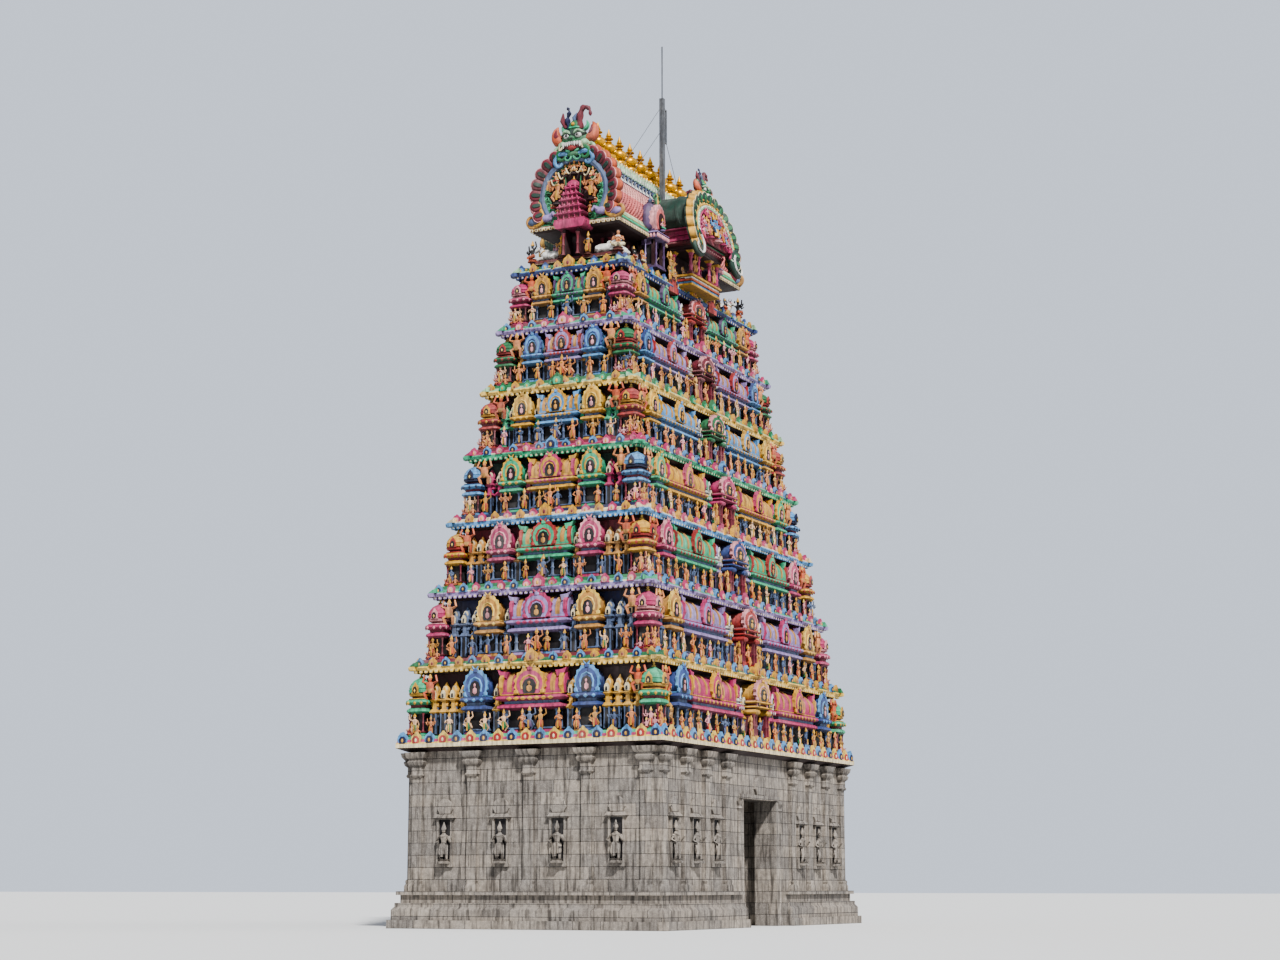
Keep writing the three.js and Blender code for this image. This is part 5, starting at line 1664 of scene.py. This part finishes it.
def porch():
    """The open hall under a dormer, measured from the eave: plinth, columns, beam and attic"""
    s = Shape()
    low, floor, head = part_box("front_dormer_porch")[0].z - EAVE_Z, -1.36, -0.33
    step = (floor - low) / 5
    for n, (tint, half, deep) in enumerate([("gold", 1.4, 0.52), ("sky", 1.36, 0.48), ("orange", 1.41, 0.53),
                                            ("white", 1.38, 0.5), ("gold", 1.46, 0.58)]):
        rolls = [(0, -0.02), (0.25, 0), (0.8, 0), (1.02, -0.03)]
        s.put(moulded(half, deep, [(low + (n + z) * step, out) for z, out in rolls], tint, 0, -2.63))
    column = pillar(head - floor)
    for x, y in [(-1.3, -3.04), (-0.55, -3.04), (0.55, -3.04), (1.3, -3.04), (-1.3, -2.24), (1.3, -2.24)]:
        s.put(column, moved(x, y, floor))
    s.put(block(-1.2, 1.2, -2.12, -2.065, floor, -0.3, "maroon"))
    beam = [(head, 1.42, 0.54), (-0.26, 1.42, 0.54), (-0.24, 1.46, 0.58), (-0.12, 1.46, 0.58),
            (-0.08, 1.56, 0.6), (-0.02, 1.6, 0.62), (0.04, 1.58, 0.62), (0.08, 1.48, 0.58)]
    for sections, tint in ((beam[:4], "maroon"), (beam[3:], "wine"),
                           ([(0.03, 1.59, 0.625), (0.07, 1.52, 0.6)], "blush")):
        s.put(stacked(sections, tint, 0, -2.65))
    rings = []
    for z, half in [(0.08, 1.44), (0.12, 1.5), (0.2, 1.5), (0.22, 1.4), (0.34, 1.4), (0.36, 1.47),
                    (0.42, 1.47), (0.44, 1.42), (0.54, 1.44), (0.58, 1.62), (0.63, 1.64)]:
        front, back = -2.89 + LEAN * (z - LEAN_Z) - (half - 1.42) * 0.6, -1.9
        rings.append([(half, front, z), (half, back, z), (-half, back, z), (-half, front, z)])
    s.put(skin(rings, "rose"))
    for x in np.linspace(-1.35, 1.35, 15):
        s.put(ball((x, -3.27, -0.01), (0.05, 0.03, 0.045), "blush", 6, 3))
    seat = [(0, 0.36, 0.3), (0.12, 0.36, 0.3), (0.13, 0.28, 0.24), (0.24, 0.3, 0.26)]
    s.put(stacked(seat, "gold"), moved(0, -2.62, floor))
    deity = figure("many", "many", "seated", tints("blush", "ochre", "cream"))
    s.put(deity, moved(0, -2.62, floor + 0.2, 1.05))
    guard = figure("hang", "raised", "straight", tints("ochre", "red", "rose"))
    return s.put(both(Shape().put(guard, moved(0.94, -3.06, floor))))


def dormers():
    front, barrel, hall = dormer_front(), dormer_barrel(), porch()
    colours = {"body": "deep_green", "rim": "cream", "jewel": "green", "trim": "gold"}
    petals = petals_of("dormer_petals", DORMER, -3.0, colours)
    petals.transform(LEANED)
    for turn, name in ((FRONT, "front"), (BACK, "back")):
        raised = spin(turn) @ moved(0, 0, EAVE_Z)
        leant = Shape().put(front, spin(turn) @ LEANED @ moved(0, 0, EAVE_Z))
        piece_of(f"{name}_dormer_horseshoe", leant, "stucco_gold", f"{name}_dormer_arch")
        show(f"{name}_dormer_petals", turned_copy(petals, turn), "stucco_green")
        piece_of(f"{name}_dormer_roof", Shape().put(barrel, spin(turn)), "stucco_green",
                 f"{name}_dormer_barrel")
        piece_of(f"{name}_dormer_hall", Shape().put(hall, raised), "stucco_rose", f"{name}_dormer_porch")


def side_niche():
    """A domed niche that breaks the eave, drawn in the middle of the front, measured from the eave"""
    low, head, lip, face = LEDGE_TOP - EAVE_Z, -0.2, -2.06, -2.32
    tall = head - low
    half = Shape()
    for y, deep in ((lip - 0.12, 0.07), (-1.56, 0.08)):
        half.put(block(0.29, 0.43, y - deep, y + deep, low + 0.1, head, "maroon"))
    half.put(colonette(tall - 0.04, 0.05, "purple"), moved(0.36, lip - 0.24, low + 0.04))
    half.put(colonette(tall - 0.1, 0.04, "lavender"), moved(0.44, -1.84, low + 0.1))
    half.put(block(0.29, 0.43, lip - 0.12, -1.5, -0.42, head, "purple"))
    for y in np.linspace(-2.3, -1.7, 5):
        half.put(ball((0.56, y, -0.08), (0.05, 0.06, 0.1), "blush", 6, 3))
    s = both(half)
    for x in np.linspace(-0.52, 0.52, 8):
        s.put(ball((x, -2.45, -0.08), (0.06, 0.05, 0.1), "blush", 6, 3))
    # The niche's hollow is a near-black block: painted shade
    s.put(block(-0.34, 0.34, lip + 0.1, -1.4, low, head, "dark"))
    foot = [(low, 0.06), (low + 0.08, 0.06), (low + 0.1, 0.02), (low + 0.16, 0.02)]
    s.put(moulded(0.4, 0.36, foot, "purple", 0, -1.94))
    roll = [(-0.2, 0.0), (-0.16, 0.1), (-0.08, 0.13), (-0.06, 0.06), (0.0, 0.06), (0.04, 0.16), (0.1, 0.12),
            (0.14, 0.02)]
    s.put(moulded(0.43, 0.34, roll, "lavender", 0, -1.98))
    s.put(moulded(0.38, 0.3, [(0.12, 0), (0.26, 0)], "purple", 0, -1.92))
    ribs = 1 + 0.035 * (np.arange(32) % 4 < 2)
    bell = [(0.46, 0.22), (0.54, 0.3), (0.57, 0.5), (0.57, 0.75), (0.53, 1.0), (0.44, 1.22), (0.3, 1.4),
            (0.14, 1.5)]
    rings = [circle(r, 32) * np.stack([ribs, 0.78 * ribs, ribs], axis=-1) + (0, -1.84, z) for r, z in bell]
    s.put(skin(rings, "purple"))
    tip = [(0.14, 1.48), (0.17, 1.53), (0.08, 1.57), (0.1, 1.62), (0.02, 1.76)]
    s.put(turned(tip, 8, "slate", 0, -1.84))
    s.put(slab(horseshoe(0.5, 1.16, 23, 0.035), face, -1.9, "blush", 0.03), moved(0, 0, 0.2))
    s.put(slab(horseshoe(0.38, 0.92, 15, z=0.04), face - 0.04, face + 0.05, "tile"), moved(0, 0, 0.22))
    s.put(slab(horseshoe(0.27, 0.7, 11, z=0.05), face - 0.06, face, "maroon"), moved(0, 0, 0.24))
    for stance, look, y, z, tall in (("seated", tints("blush", "mint", "lavender"), face - 0.1, 0.2, 0.72),
                                     ("straight", tints("cream", "white", "lavender"), lip - 0.02,
                                      low + 0.06, 0.78)):
        s.put(figure("bless", "hip", stance, look), moved(0, y, z, tall))
    return s.put(curl_crest().painted({"body": "green", "trim": "gold"}), moved(0, -2.16, 1.38, 1.1))


def side_niches():
    niche = side_niche()
    for turn, name, hands in ((FRONT, "front", ("left", "right")), (BACK, "back", ("right", "left"))):
        for along, hand in zip((-2.76, 2.76), hands):
            piece_of(f"{name}_{hand}_domed_niche", Shape().put(niche, placed(turn, along, 0, EAVE_Z)),
                     "stucco_lavender", f"{name}_niche_{hand}")


def end_shrine():
    """The five-tier shrine before a gable, over the niche of the neck, measured from the eave"""
    half = Shape()
    low = LEDGE_TOP - EAVE_Z
    half.put(block(0.25, 0.4, -0.22, 0.34, low, -0.2, "maroon"))
    half.put(colonette(0.92, 0.06, "wine", 8), moved(0.33, -0.27, low))
    s = both(half)
    base = [(-0.32, 0.6), (-0.26, 0.66), (-0.16, 0.7), (-0.06, 0.72), (0.0, 0.68), (0.06, 0.7)]
    s.put(stacked([(z, reach, 0.2 + reach * 0.33) for z, reach in base], "rose"))
    roll = [(0.5, 0.9), (0.6, 1.06), (0.72, 1.12), (0.86, 1.04), (1.0, 0.86)]
    for n, (z, reach) in enumerate([(0.06, 0.64), (0.36, 0.54), (0.66, 0.45), (0.94, 0.36), (1.2, 0.28)]):
        tall = 0.3 if n < 3 else 0.26
        deep = 0.2 + reach * 0.36
        # The recessed core of each tier is darker wine than the rose: painted shade in the recess
        core = [(z, reach * 0.86, deep * 0.9), (z + tall * 0.6, reach * 0.86, deep * 0.9)]
        s.put(stacked(core, "wine"))
        s.put(stacked([(z + tall * up, reach * out, deep * out) for up, out in roll], "rose"))
        for x in np.linspace(-reach * 0.8, reach * 0.8, 5 - n // 2):
            s.put(colonette(tall * 0.55, 0.03, "rose", 5), moved(x, -deep * 0.95, z))
            s.put(ball((x, -deep * 1.08, z + tall * 0.86), (0.05, 0.04, 0.09), "rose", 6, 3))
    top = [(1.44, 0.2), (1.5, 0.27), (1.6, 0.28), (1.7, 0.22), (1.78, 0.12)]
    s.put(stacked([(z, reach, reach) for z, reach in top], "rose", chamfer=0.5))
    return s.put(turned([(0.07, 1.76), (0.11, 1.82), (0.04, 1.86), (0.02, 1.98)], 8, "gold"))


def end_shrines():
    shrine = end_shrine()
    for turn, name in ((LEFT, "left"), (RIGHT, "right")):
        place = placed(turn, 0, EAVE_X + 0.06, EAVE_Z)
        piece_of(f"{name}_tiered_shrine", Shape().put(shrine, place), "stucco_rose", f"{name}_end_shrine")


# Neck, eave, gateway and mast
SAGE, DARK_ONE = tints("skin", "cream", "brown", "white"), tints("dark", "orange", "orange", "white")
GREEN_GUARD, RED_GUARD = tints("ochre", "green", "brown"), tints("ochre", "red", "brown", "sky")


def neck_ends(bulls, people, posts):
    """What stands on the ledge at the short ends"""
    corner, seats = LEDGE_Y - 0.08, LEDGE_X - 0.06
    for turn in (LEFT, RIGHT):
        for side, facing, look in ((-1, math.pi, GREEN_GUARD), (1, 0, RED_GUARD)):
            bulls.put(bull(), placed(turn, 1.34 * side, LEDGE_X - 0.32, LEDGE_TOP, 0.82, facing))
            guard = figure("bless", "hip", "straight", look)
            place = placed(turn, 0.62 * side, LEDGE_X - 0.04, LEDGE_TOP, (1.02 * side, 1.02, 1.02))
            people.put(guard, place)
        sage = figure("folded", "folded", "seated", SAGE, crown=False)
        people.put(sage, placed(turn, corner, seats, LEDGE_TOP, 1.35, 0.4))
        dark_one = figure("raised", "many", "seated", DARK_ONE)
        people.put(dark_one, placed(turn, -corner, seats, LEDGE_TOP, 1.2, -0.5))
        for u in (-1.1, -0.75, 0.75, 1.1):
            posts.put(colonette(0.94, 0.06, "wine", 8), placed(turn, u, NECK_X + 0.08, LEDGE_TOP))


def neck_sides(bulls, people, posts):
    """What stands on the ledge and on the porch's steps along the long sides"""
    cast = [(4.55, 1.98, 0, 0.75, "seated", DARK_ONE), (3.75, 1.98, 0, 0.8, "seated", SAGE),
            (1.94, 2.4, -0.3, 1.32, "dance", GREEN_GUARD), (2.2, 2.48, -0.42, 0.72, "straight", RED_GUARD),
            (1.68, 2.48, -0.42, 0.72, "straight", RED_GUARD),
            (1.22, 2.64, -0.08, 0.7, "seated", tints("pale_skin", "rose", "red", "white"))]
    tall_step = [(-0.84, 0.4, 0.15), (-0.6, 0.4, 0.15), (-0.58, 0.36, 0.13), (-0.42, 0.36, 0.13),
                 (-0.41, 0.2, 0.13), (-0.3, 0.2, 0.13)]
    low_step = [(-0.21, 0.2, 0.2), (-0.14, 0.2, 0.2), (-0.13, 0.16, 0.16), (-0.07, 0.16, 0.16)]
    for turn in (FRONT, BACK):
        for side, outwards, inwards in ((-1, math.pi, 0), (1, 0, math.pi)):
            bulls.put(bull(), placed(turn, 5.2 * side, LEDGE_Y - 0.34, LEDGE_TOP, 0.78, outwards))
            bulls.put(bull(), placed(turn, 4.1 * side, LEDGE_Y - 0.32, LEDGE_TOP, 0.5, inwards))
            for u, away, up, size, stance, look in cast:
                where = placed(turn, u * side, away, LEDGE_TOP + up, size)
                people.put(figure("many", "raised", stance, look), where)
            people.put(stacked(tall_step, "red"), placed(turn, 1.94 * side, 2.42, LEDGE_TOP))
            people.put(stacked(low_step, "red"), placed(turn, 1.22 * side, 2.64, LEDGE_TOP))
        for u in np.arange(-4.8, 4.81, 0.4):
            if abs(u) > 1.6:
                posts.put(colonette(0.94, 0.05, "wine", 6), placed(turn, u, NECK_Y + 0.07, LEDGE_TOP))


def neck():
    """Bulls, guardians and seated sages on the ledge, and short pilasters on the neck's wall"""
    bands = [(0.2, "cream"), (0.75, "brown"), (1, "wine")]
    dress("neck_ledge", banded("neck ledge", bands, LEDGE_TOP - 0.15, LEDGE_TOP))
    dress("neck_wall", material_of("maroon"))
    bulls, people, posts = Shape(), Shape(), Shape()
    neck_ends(bulls, people, posts)
    neck_sides(bulls, people, posts)
    piece_of("neck_bulls", bulls, "stucco_cream")
    piece_of("neck_statues", people, "stucco_gold")
    piece_of("neck_pilasters", posts, "stucco_rose")


def eave():
    """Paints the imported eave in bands, and hangs leaves along its lip and its slope's foot"""
    bands = [(0.12, "maroon"), (0.2, "gold"), (0.3, "cream"), (0.36, "brown"), (0.42, "mint"),
             (1, "pale_green")]
    dress("eave_cornice", banded("eave", bands, EAVE_LOW.z, EAVE_Z + 0.47))
    leaves = pattern_set("leaves", lotus_leaf)
    drops, line = [], []
    for turn, half, away in sides_of(EAVE_X, EAVE_Y):
        for u in spaced(half, 0.22, 0.06):
            if turn in (RIGHT, LEFT) or abs(u) >= PORCH_HALF:
                drops.append(spot(turn, u, away - 0.01, EAVE_Z - 0.15, 0.9))
        for u in spaced(half + 0.3, 0.27, 0.1):
            line.append(spot(turn, u, away + 0.36, EAVE_Z - 1.78, (1.5, 1.6, -1.0)))
    copies("eave_leaves", leaves, drops, {"body": "cream", "trim": "brown"}, "stucco_cream")
    copies("slope_leaves", leaves, line, {"body": "green", "trim": "gold"}, "stucco_green")


def gateway_pilaster(low):
    """The foot and the capital of a pilaster of the granite storey"""
    s = Shape()
    capital = [(-1.0, 0.22), (-0.92, 0.27), (-0.84, 0.22), (-0.6, 0.22), (-0.52, 0.32), (-0.4, 0.36),
               (-0.34, 0.3), (-0.2, 0.42), (-0.04, 0.46)]
    foot = [(1.4, 0.27), (1.6, 0.27), (1.68, 0.22), (1.78, 0.24), (1.84, 0.2)]
    for sections in ([(low + z, half) for z, half in capital], foot):
        s.put(stacked([(z, half, half * 0.8) for z, half in sections], "granite", 0, -0.02))
    return s


def gateway_niche():
    """A niche of the granite storey: sill, posts, a near-black sheet of painted shade, eave, arch and a
    standing figure
    """
    sill, head, eave_top = 2.44, 4.1, 4.3
    s = block(-0.36, 0.36, -0.1, 0.04, 2.3, sill, "granite")
    for left in (-0.34, 0.26):
        s.put(block(left, left + 0.08, -0.1, 0.04, sill, head, "granite"))
    # Near-black sheet between the posts: painted shade of the niche
    s.put(block(-0.26, 0.26, -0.02, 0.02, sill, head, "dark"))
    s.put(stacked([(head, 0.42, 0.16), (4.16, 0.46, 0.2), (eave_top, 0.36, 0.12)], "granite"))
    s.put(slab(horseshoe(0.34, 0.6, 13, 0.04), -0.1, 0.04, "granite", 0.03), moved(0, 0, eave_top))
    statue = figure("bless", "hip", "straight", dict.fromkeys(ROLES, "granite"), 6)
    return s.put(statue, moved(0, -0.12, sill, 1.6))


def gate_frame():
    """Jambs, columns, lintel and arch of the gateway"""
    jamb_top, lintel_top = 5.0, 5.2
    half = block(1.64, 1.92, -0.06, 0.04, 0, jamb_top, "granite")
    column = [(0.16, 0), (0.16, 0.3), (0.1, 0.4), (0.1, 4.5), (0.17, 4.62), (0.12, 4.72), (0.2, 4.9)]
    half.put(turned(column, 10, "granite", 2.02))
    s = both(half).put(block(-1.95, 1.95, -0.1, 0.04, jamb_top + 0.02, lintel_top, "granite"))
    arch = slab(horseshoe(0.5, 0.8, 15, 0.04), -0.12, 0.04, "granite", 0.03)
    return s.put(arch, moved(0, 0, lintel_top))


def gateway():
    """The granite storey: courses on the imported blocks, with pilasters, niches and gate frames"""
    for node in ("base_left_block", "base_right_block", "passage_ceiling", "front_gate_frame",
                 "back_gate_frame"):
        dress(node, granite_courses())
    low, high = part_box("base_cornice")
    bands = [(0.24, "maroon"), (0.5, "cream"), (0.6, "yellow"), (0.8, "rose"), (1, "mint")]
    dress("base_cornice", banded("base cornice", bands, low.z, high.z))
    face_y = -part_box("front_gate_frame")[0].y
    end_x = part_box("base_right_block")[1].x - 0.58
    s, pilaster, niche = Shape(), gateway_pilaster(low.z), gateway_niche()
    for turn, half, away in sides_of(end_x, face_y):
        along, between = (0, 0.46, 0.92), (0.23, 0.69)
        if turn in (FRONT, BACK):
            along, between = (0.36, 0.56, 0.76, 0.96), (0.46, 0.66, 0.86)
            s.put(gate_frame(), placed(turn, 0, away))
        for pattern, shares in ((pilaster, along), (niche, between)):
            for share in shares:
                for side in (-1, 1) if share else (1,):
                    s.put(pattern, placed(turn, side * share * half, away))
    piece_of("gateway_carving", s, "granite")
    rows = [[], []]
    for turn, half, away in sides_of(round(high.x, 2), round(high.y, 2)):
        for n, u in enumerate(spaced(half, 0.62, 0.3)):
            rows[n % 2].append(spot(turn, u, away - 0.08, low.z + 0.27, (1.3, 1, 1.3)))
    arches = pattern_set("arches", kudu)
    copies("gateway_arches_a", arches, rows[1], arch_tints("yellow", "red", "cream"), "stucco_gold")
    copies("gateway_arches_b", arches, rows[0], PALE, "stucco_blue")


def mast_fittings():
    """Climbing pegs and cable clips on the mast, and its finish"""
    for node in ("mast", "mast_stay_left", "mast_stay_middle", "mast_stay_right"):
        dress(node, painted_steel())
    low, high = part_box("mast")
    y, top = (low.y + high.y) / 2, high.z - 2.65
    s = Shape()
    peg = turned([(0.018, -0.1), (0.018, 0.1)], 6, "steel")
    for z in np.arange(low.z + 0.5, top, 0.32):
        s.put(peg, Matrix.Translation((0.1, y, z)) @ Matrix.Rotation(math.pi / 2, 4, "Y"))
    for z in np.arange(low.z + 0.3, top, 0.9):
        s.put(block(-0.08, 0.08, y - 0.08, y + 0.08, z, z + 0.04, "steel"))
    piece_of("mast_pegs", s, "steel")


# Stage
def stage():
    """Pale floor, soft studio light and a camera at the photograph's viewing angle"""
    scene = bpy.context.scene
    floor = add_object("floor", bpy.data.meshes.new("floor"))
    floor.data.from_pydata([(x, y, 0) for x, y in rectangle(400, 400)], [], [(0, 1, 2, 3)])
    material = bpy.data.materials.new("floor plaster")
    material.use_nodes = True
    g = Graph(material.node_tree)
    share = g.steps(g.noise(g.place(), 0.6, 3.0), 0.35, 0.65, 0.0, 0.06)
    tint = g.blend(share, colour_of("floor"), (0.6, 0.6, 0.6, 1))
    shader = g.add("ShaderNodeBsdfPrincipled", {"Base Color": tint, "Roughness": 0.85})
    g.add("ShaderNodeOutputMaterial", {"Surface": shader})
    floor.data.materials.append(material)
    scene.world = bpy.data.worlds.new("studio")
    scene.world.use_nodes = True
    g = Graph(scene.world.node_tree)
    strength = g.steps(g.add("ShaderNodeLightPath").outputs["Is Camera Ray"], 0, 1, 0.5, 0.85)
    sky = g.add("ShaderNodeBackground", {"Color": (0.80, 0.87, 1.0, 1), "Strength": strength})
    g.add("ShaderNodeOutputWorld", {"Surface": sky})
    for name, energy, angle, turn in ("key", 5.0, 4.0, (44, 0, -46)), ("fill", 0.5, 40.0, (62, 0, 30)):
        lamp = add_object(name, bpy.data.lights.new(name, "SUN"))
        lamp.data.energy = energy
        lamp.data.angle = math.radians(angle)
        lamp.rotation_euler = [math.radians(value) for value in turn]
    camera = add_object("camera", bpy.data.cameras.new("camera"))
    camera.data.lens = sizes().lens
    camera.data.clip_end = 1000
    camera.location = PHOTO_EYE
    camera.rotation_euler = (LOOKED_AT - PHOTO_EYE).to_track_quat("-Z", "Y").to_euler()
    scene.camera = camera
    scene.view_settings.look = "AgX - Medium High Contrast"


def each_storey(*makers):
    """Runs makers for the seven storeys, from the first to the top one"""
    for number in range(1, STOREYS + 1):
        for maker in makers:
            maker(Storey(number))


class TowerStage(bpy.types.Operator):
    """Pale floor, soft light and the camera"""

    bl_idname = "tower.stage"
    bl_label = "Stage"

    def execute(self, context):
        stage()
        return {"FINISHED"}


class TowerGateway(bpy.types.Operator):
    """Granite storey with pilasters, niches and its cornice"""

    bl_idname = "tower.gateway"
    bl_label = "Gateway"

    def execute(self, context):
        gateway()
        return {"FINISHED"}


class TowerWalls(bpy.types.Operator):
    """Walls of the seven storeys, with their doorways"""

    bl_idname = "tower.walls"
    bl_label = "Storey walls"

    def execute(self, context):
        each_storey(storey_walls)
        return {"FINISHED"}


class TowerShrines(bpy.types.Operator):
    """Domed, arched and long mini shrines on each storey"""

    bl_idname = "tower.shrines"
    bl_label = "Mini shrines"

    def execute(self, context):
        each_storey(storey_shrines)
        return {"FINISHED"}


class TowerRows(bpy.types.Operator):
    """Slim columns, turrets, little arches and petals on each storey"""

    bl_idname = "tower.rows"
    bl_label = "Rows"

    def execute(self, context):
        each_storey(storey_rows)
        return {"FINISHED"}


class TowerCornices(bpy.types.Operator):
    """Bands of each storey's cornice, and its bays"""

    bl_idname = "tower.cornices"
    bl_label = "Cornices"

    def execute(self, context):
        each_storey(storey_cornice, cornice_bays)
        return {"FINISHED"}


class TowerFigures(bpy.types.Operator):
    """Standing figures, groups and bearers on each storey"""

    bl_idname = "tower.figures"
    bl_label = "Figures"

    def execute(self, context):
        each_storey(storey_figures)
        return {"FINISHED"}


class TowerNeck(bpy.types.Operator):
    """Ledge, bulls, guardians and pilasters"""

    bl_idname = "tower.neck"
    bl_label = "Neck"

    def execute(self, context):
        neck()
        return {"FINISHED"}


class TowerEave(bpy.types.Operator):
    """Bands and hanging leaves of the eave"""

    bl_idname = "tower.eave"
    bl_label = "Eave"

    def execute(self, context):
        eave()
        return {"FINISHED"}


class TowerBarrel(bpy.types.Operator):
    """The barrel shell and its lattice of tiles"""

    bl_idname = "tower.barrel"
    bl_label = "Barrel roof"

    def execute(self, context):
        roof_shell()
        roof_tiles()
        return {"FINISHED"}


class TowerRidge(bpy.types.Operator):
    """Carved band, leaves and scrolls along the ridge"""

    bl_idname = "tower.ridge"
    bl_label = "Ridge"

    def execute(self, context):
        ridge()
        return {"FINISHED"}


class TowerFinials(bpy.types.Operator):
    """Nine gilt pots on the ridge"""

    bl_idname = "tower.finials"
    bl_label = "Finials"

    def execute(self, context):
        finials()
        return {"FINISHED"}


class TowerGables(bpy.types.Operator):
    """Horseshoe gables with masks, petals and figures"""

    bl_idname = "tower.gables"
    bl_label = "Gables"

    def execute(self, context):
        gables()
        return {"FINISHED"}


class TowerEndShrines(bpy.types.Operator):
    """Tiered shrines before the gables"""

    bl_idname = "tower.end_shrines"
    bl_label = "End shrines"

    def execute(self, context):
        end_shrines()
        return {"FINISHED"}


class TowerDormers(bpy.types.Operator):
    """Dormer arches with petals, barrels and porches"""

    bl_idname = "tower.dormers"
    bl_label = "Dormers"

    def execute(self, context):
        dormers()
        return {"FINISHED"}


class TowerSideNiches(bpy.types.Operator):
    """Domed niches that break the eave"""

    bl_idname = "tower.side_niches"
    bl_label = "Side niches"

    def execute(self, context):
        side_niches()
        return {"FINISHED"}


class TowerMast(bpy.types.Operator):
    """Steel finish and pegs of the mast"""

    bl_idname = "tower.mast"
    bl_label = "Mast"

    def execute(self, context):
        mast_fittings()
        return {"FINISHED"}


STEPS = [TowerStage, TowerGateway, TowerWalls, TowerShrines, TowerRows, TowerCornices, TowerFigures,
         TowerNeck, TowerEave, TowerBarrel, TowerRidge, TowerFinials, TowerGables, TowerEndShrines,
         TowerDormers, TowerSideNiches, TowerMast]


class TowerPanel(bpy.types.Panel):
    """Lists the tower's steps, sizes and paints"""

    bl_idname = "VIEW3D_PT_tower"
    bl_label = "Temple gateway tower"
    bl_space_type = "VIEW_3D"
    bl_region_type = "UI"
    bl_category = "Tower"

    def draw(self, context):
        for kind in STEPS:
            self.layout.operator(kind.bl_idname)
        for group in (context.scene.tower_sizes, context.scene.tower_paints):
            for name in group.bl_rna.properties.keys():
                if name not in ("rna_type", "name"):
                    self.layout.prop(group, name)


CLASSES = [TowerPaints, TowerSizes, *STEPS, TowerPanel]


def register():
    for kind in CLASSES:
        bpy.utils.register_class(kind)
    bpy.types.Scene.tower_paints = bpy.props.PointerProperty(type=TowerPaints)
    bpy.types.Scene.tower_sizes = bpy.props.PointerProperty(type=TowerSizes)


def unregister():
    del bpy.types.Scene.tower_sizes
    del bpy.types.Scene.tower_paints
    for kind in reversed(CLASSES):
        bpy.utils.unregister_class(kind)


def main():
    register()
    for kind in STEPS:
        group, name = kind.bl_idname.split(".")
        getattr(getattr(bpy.ops, group), name)()
    clear_patterns()


if __name__ == "__main__":
    main()
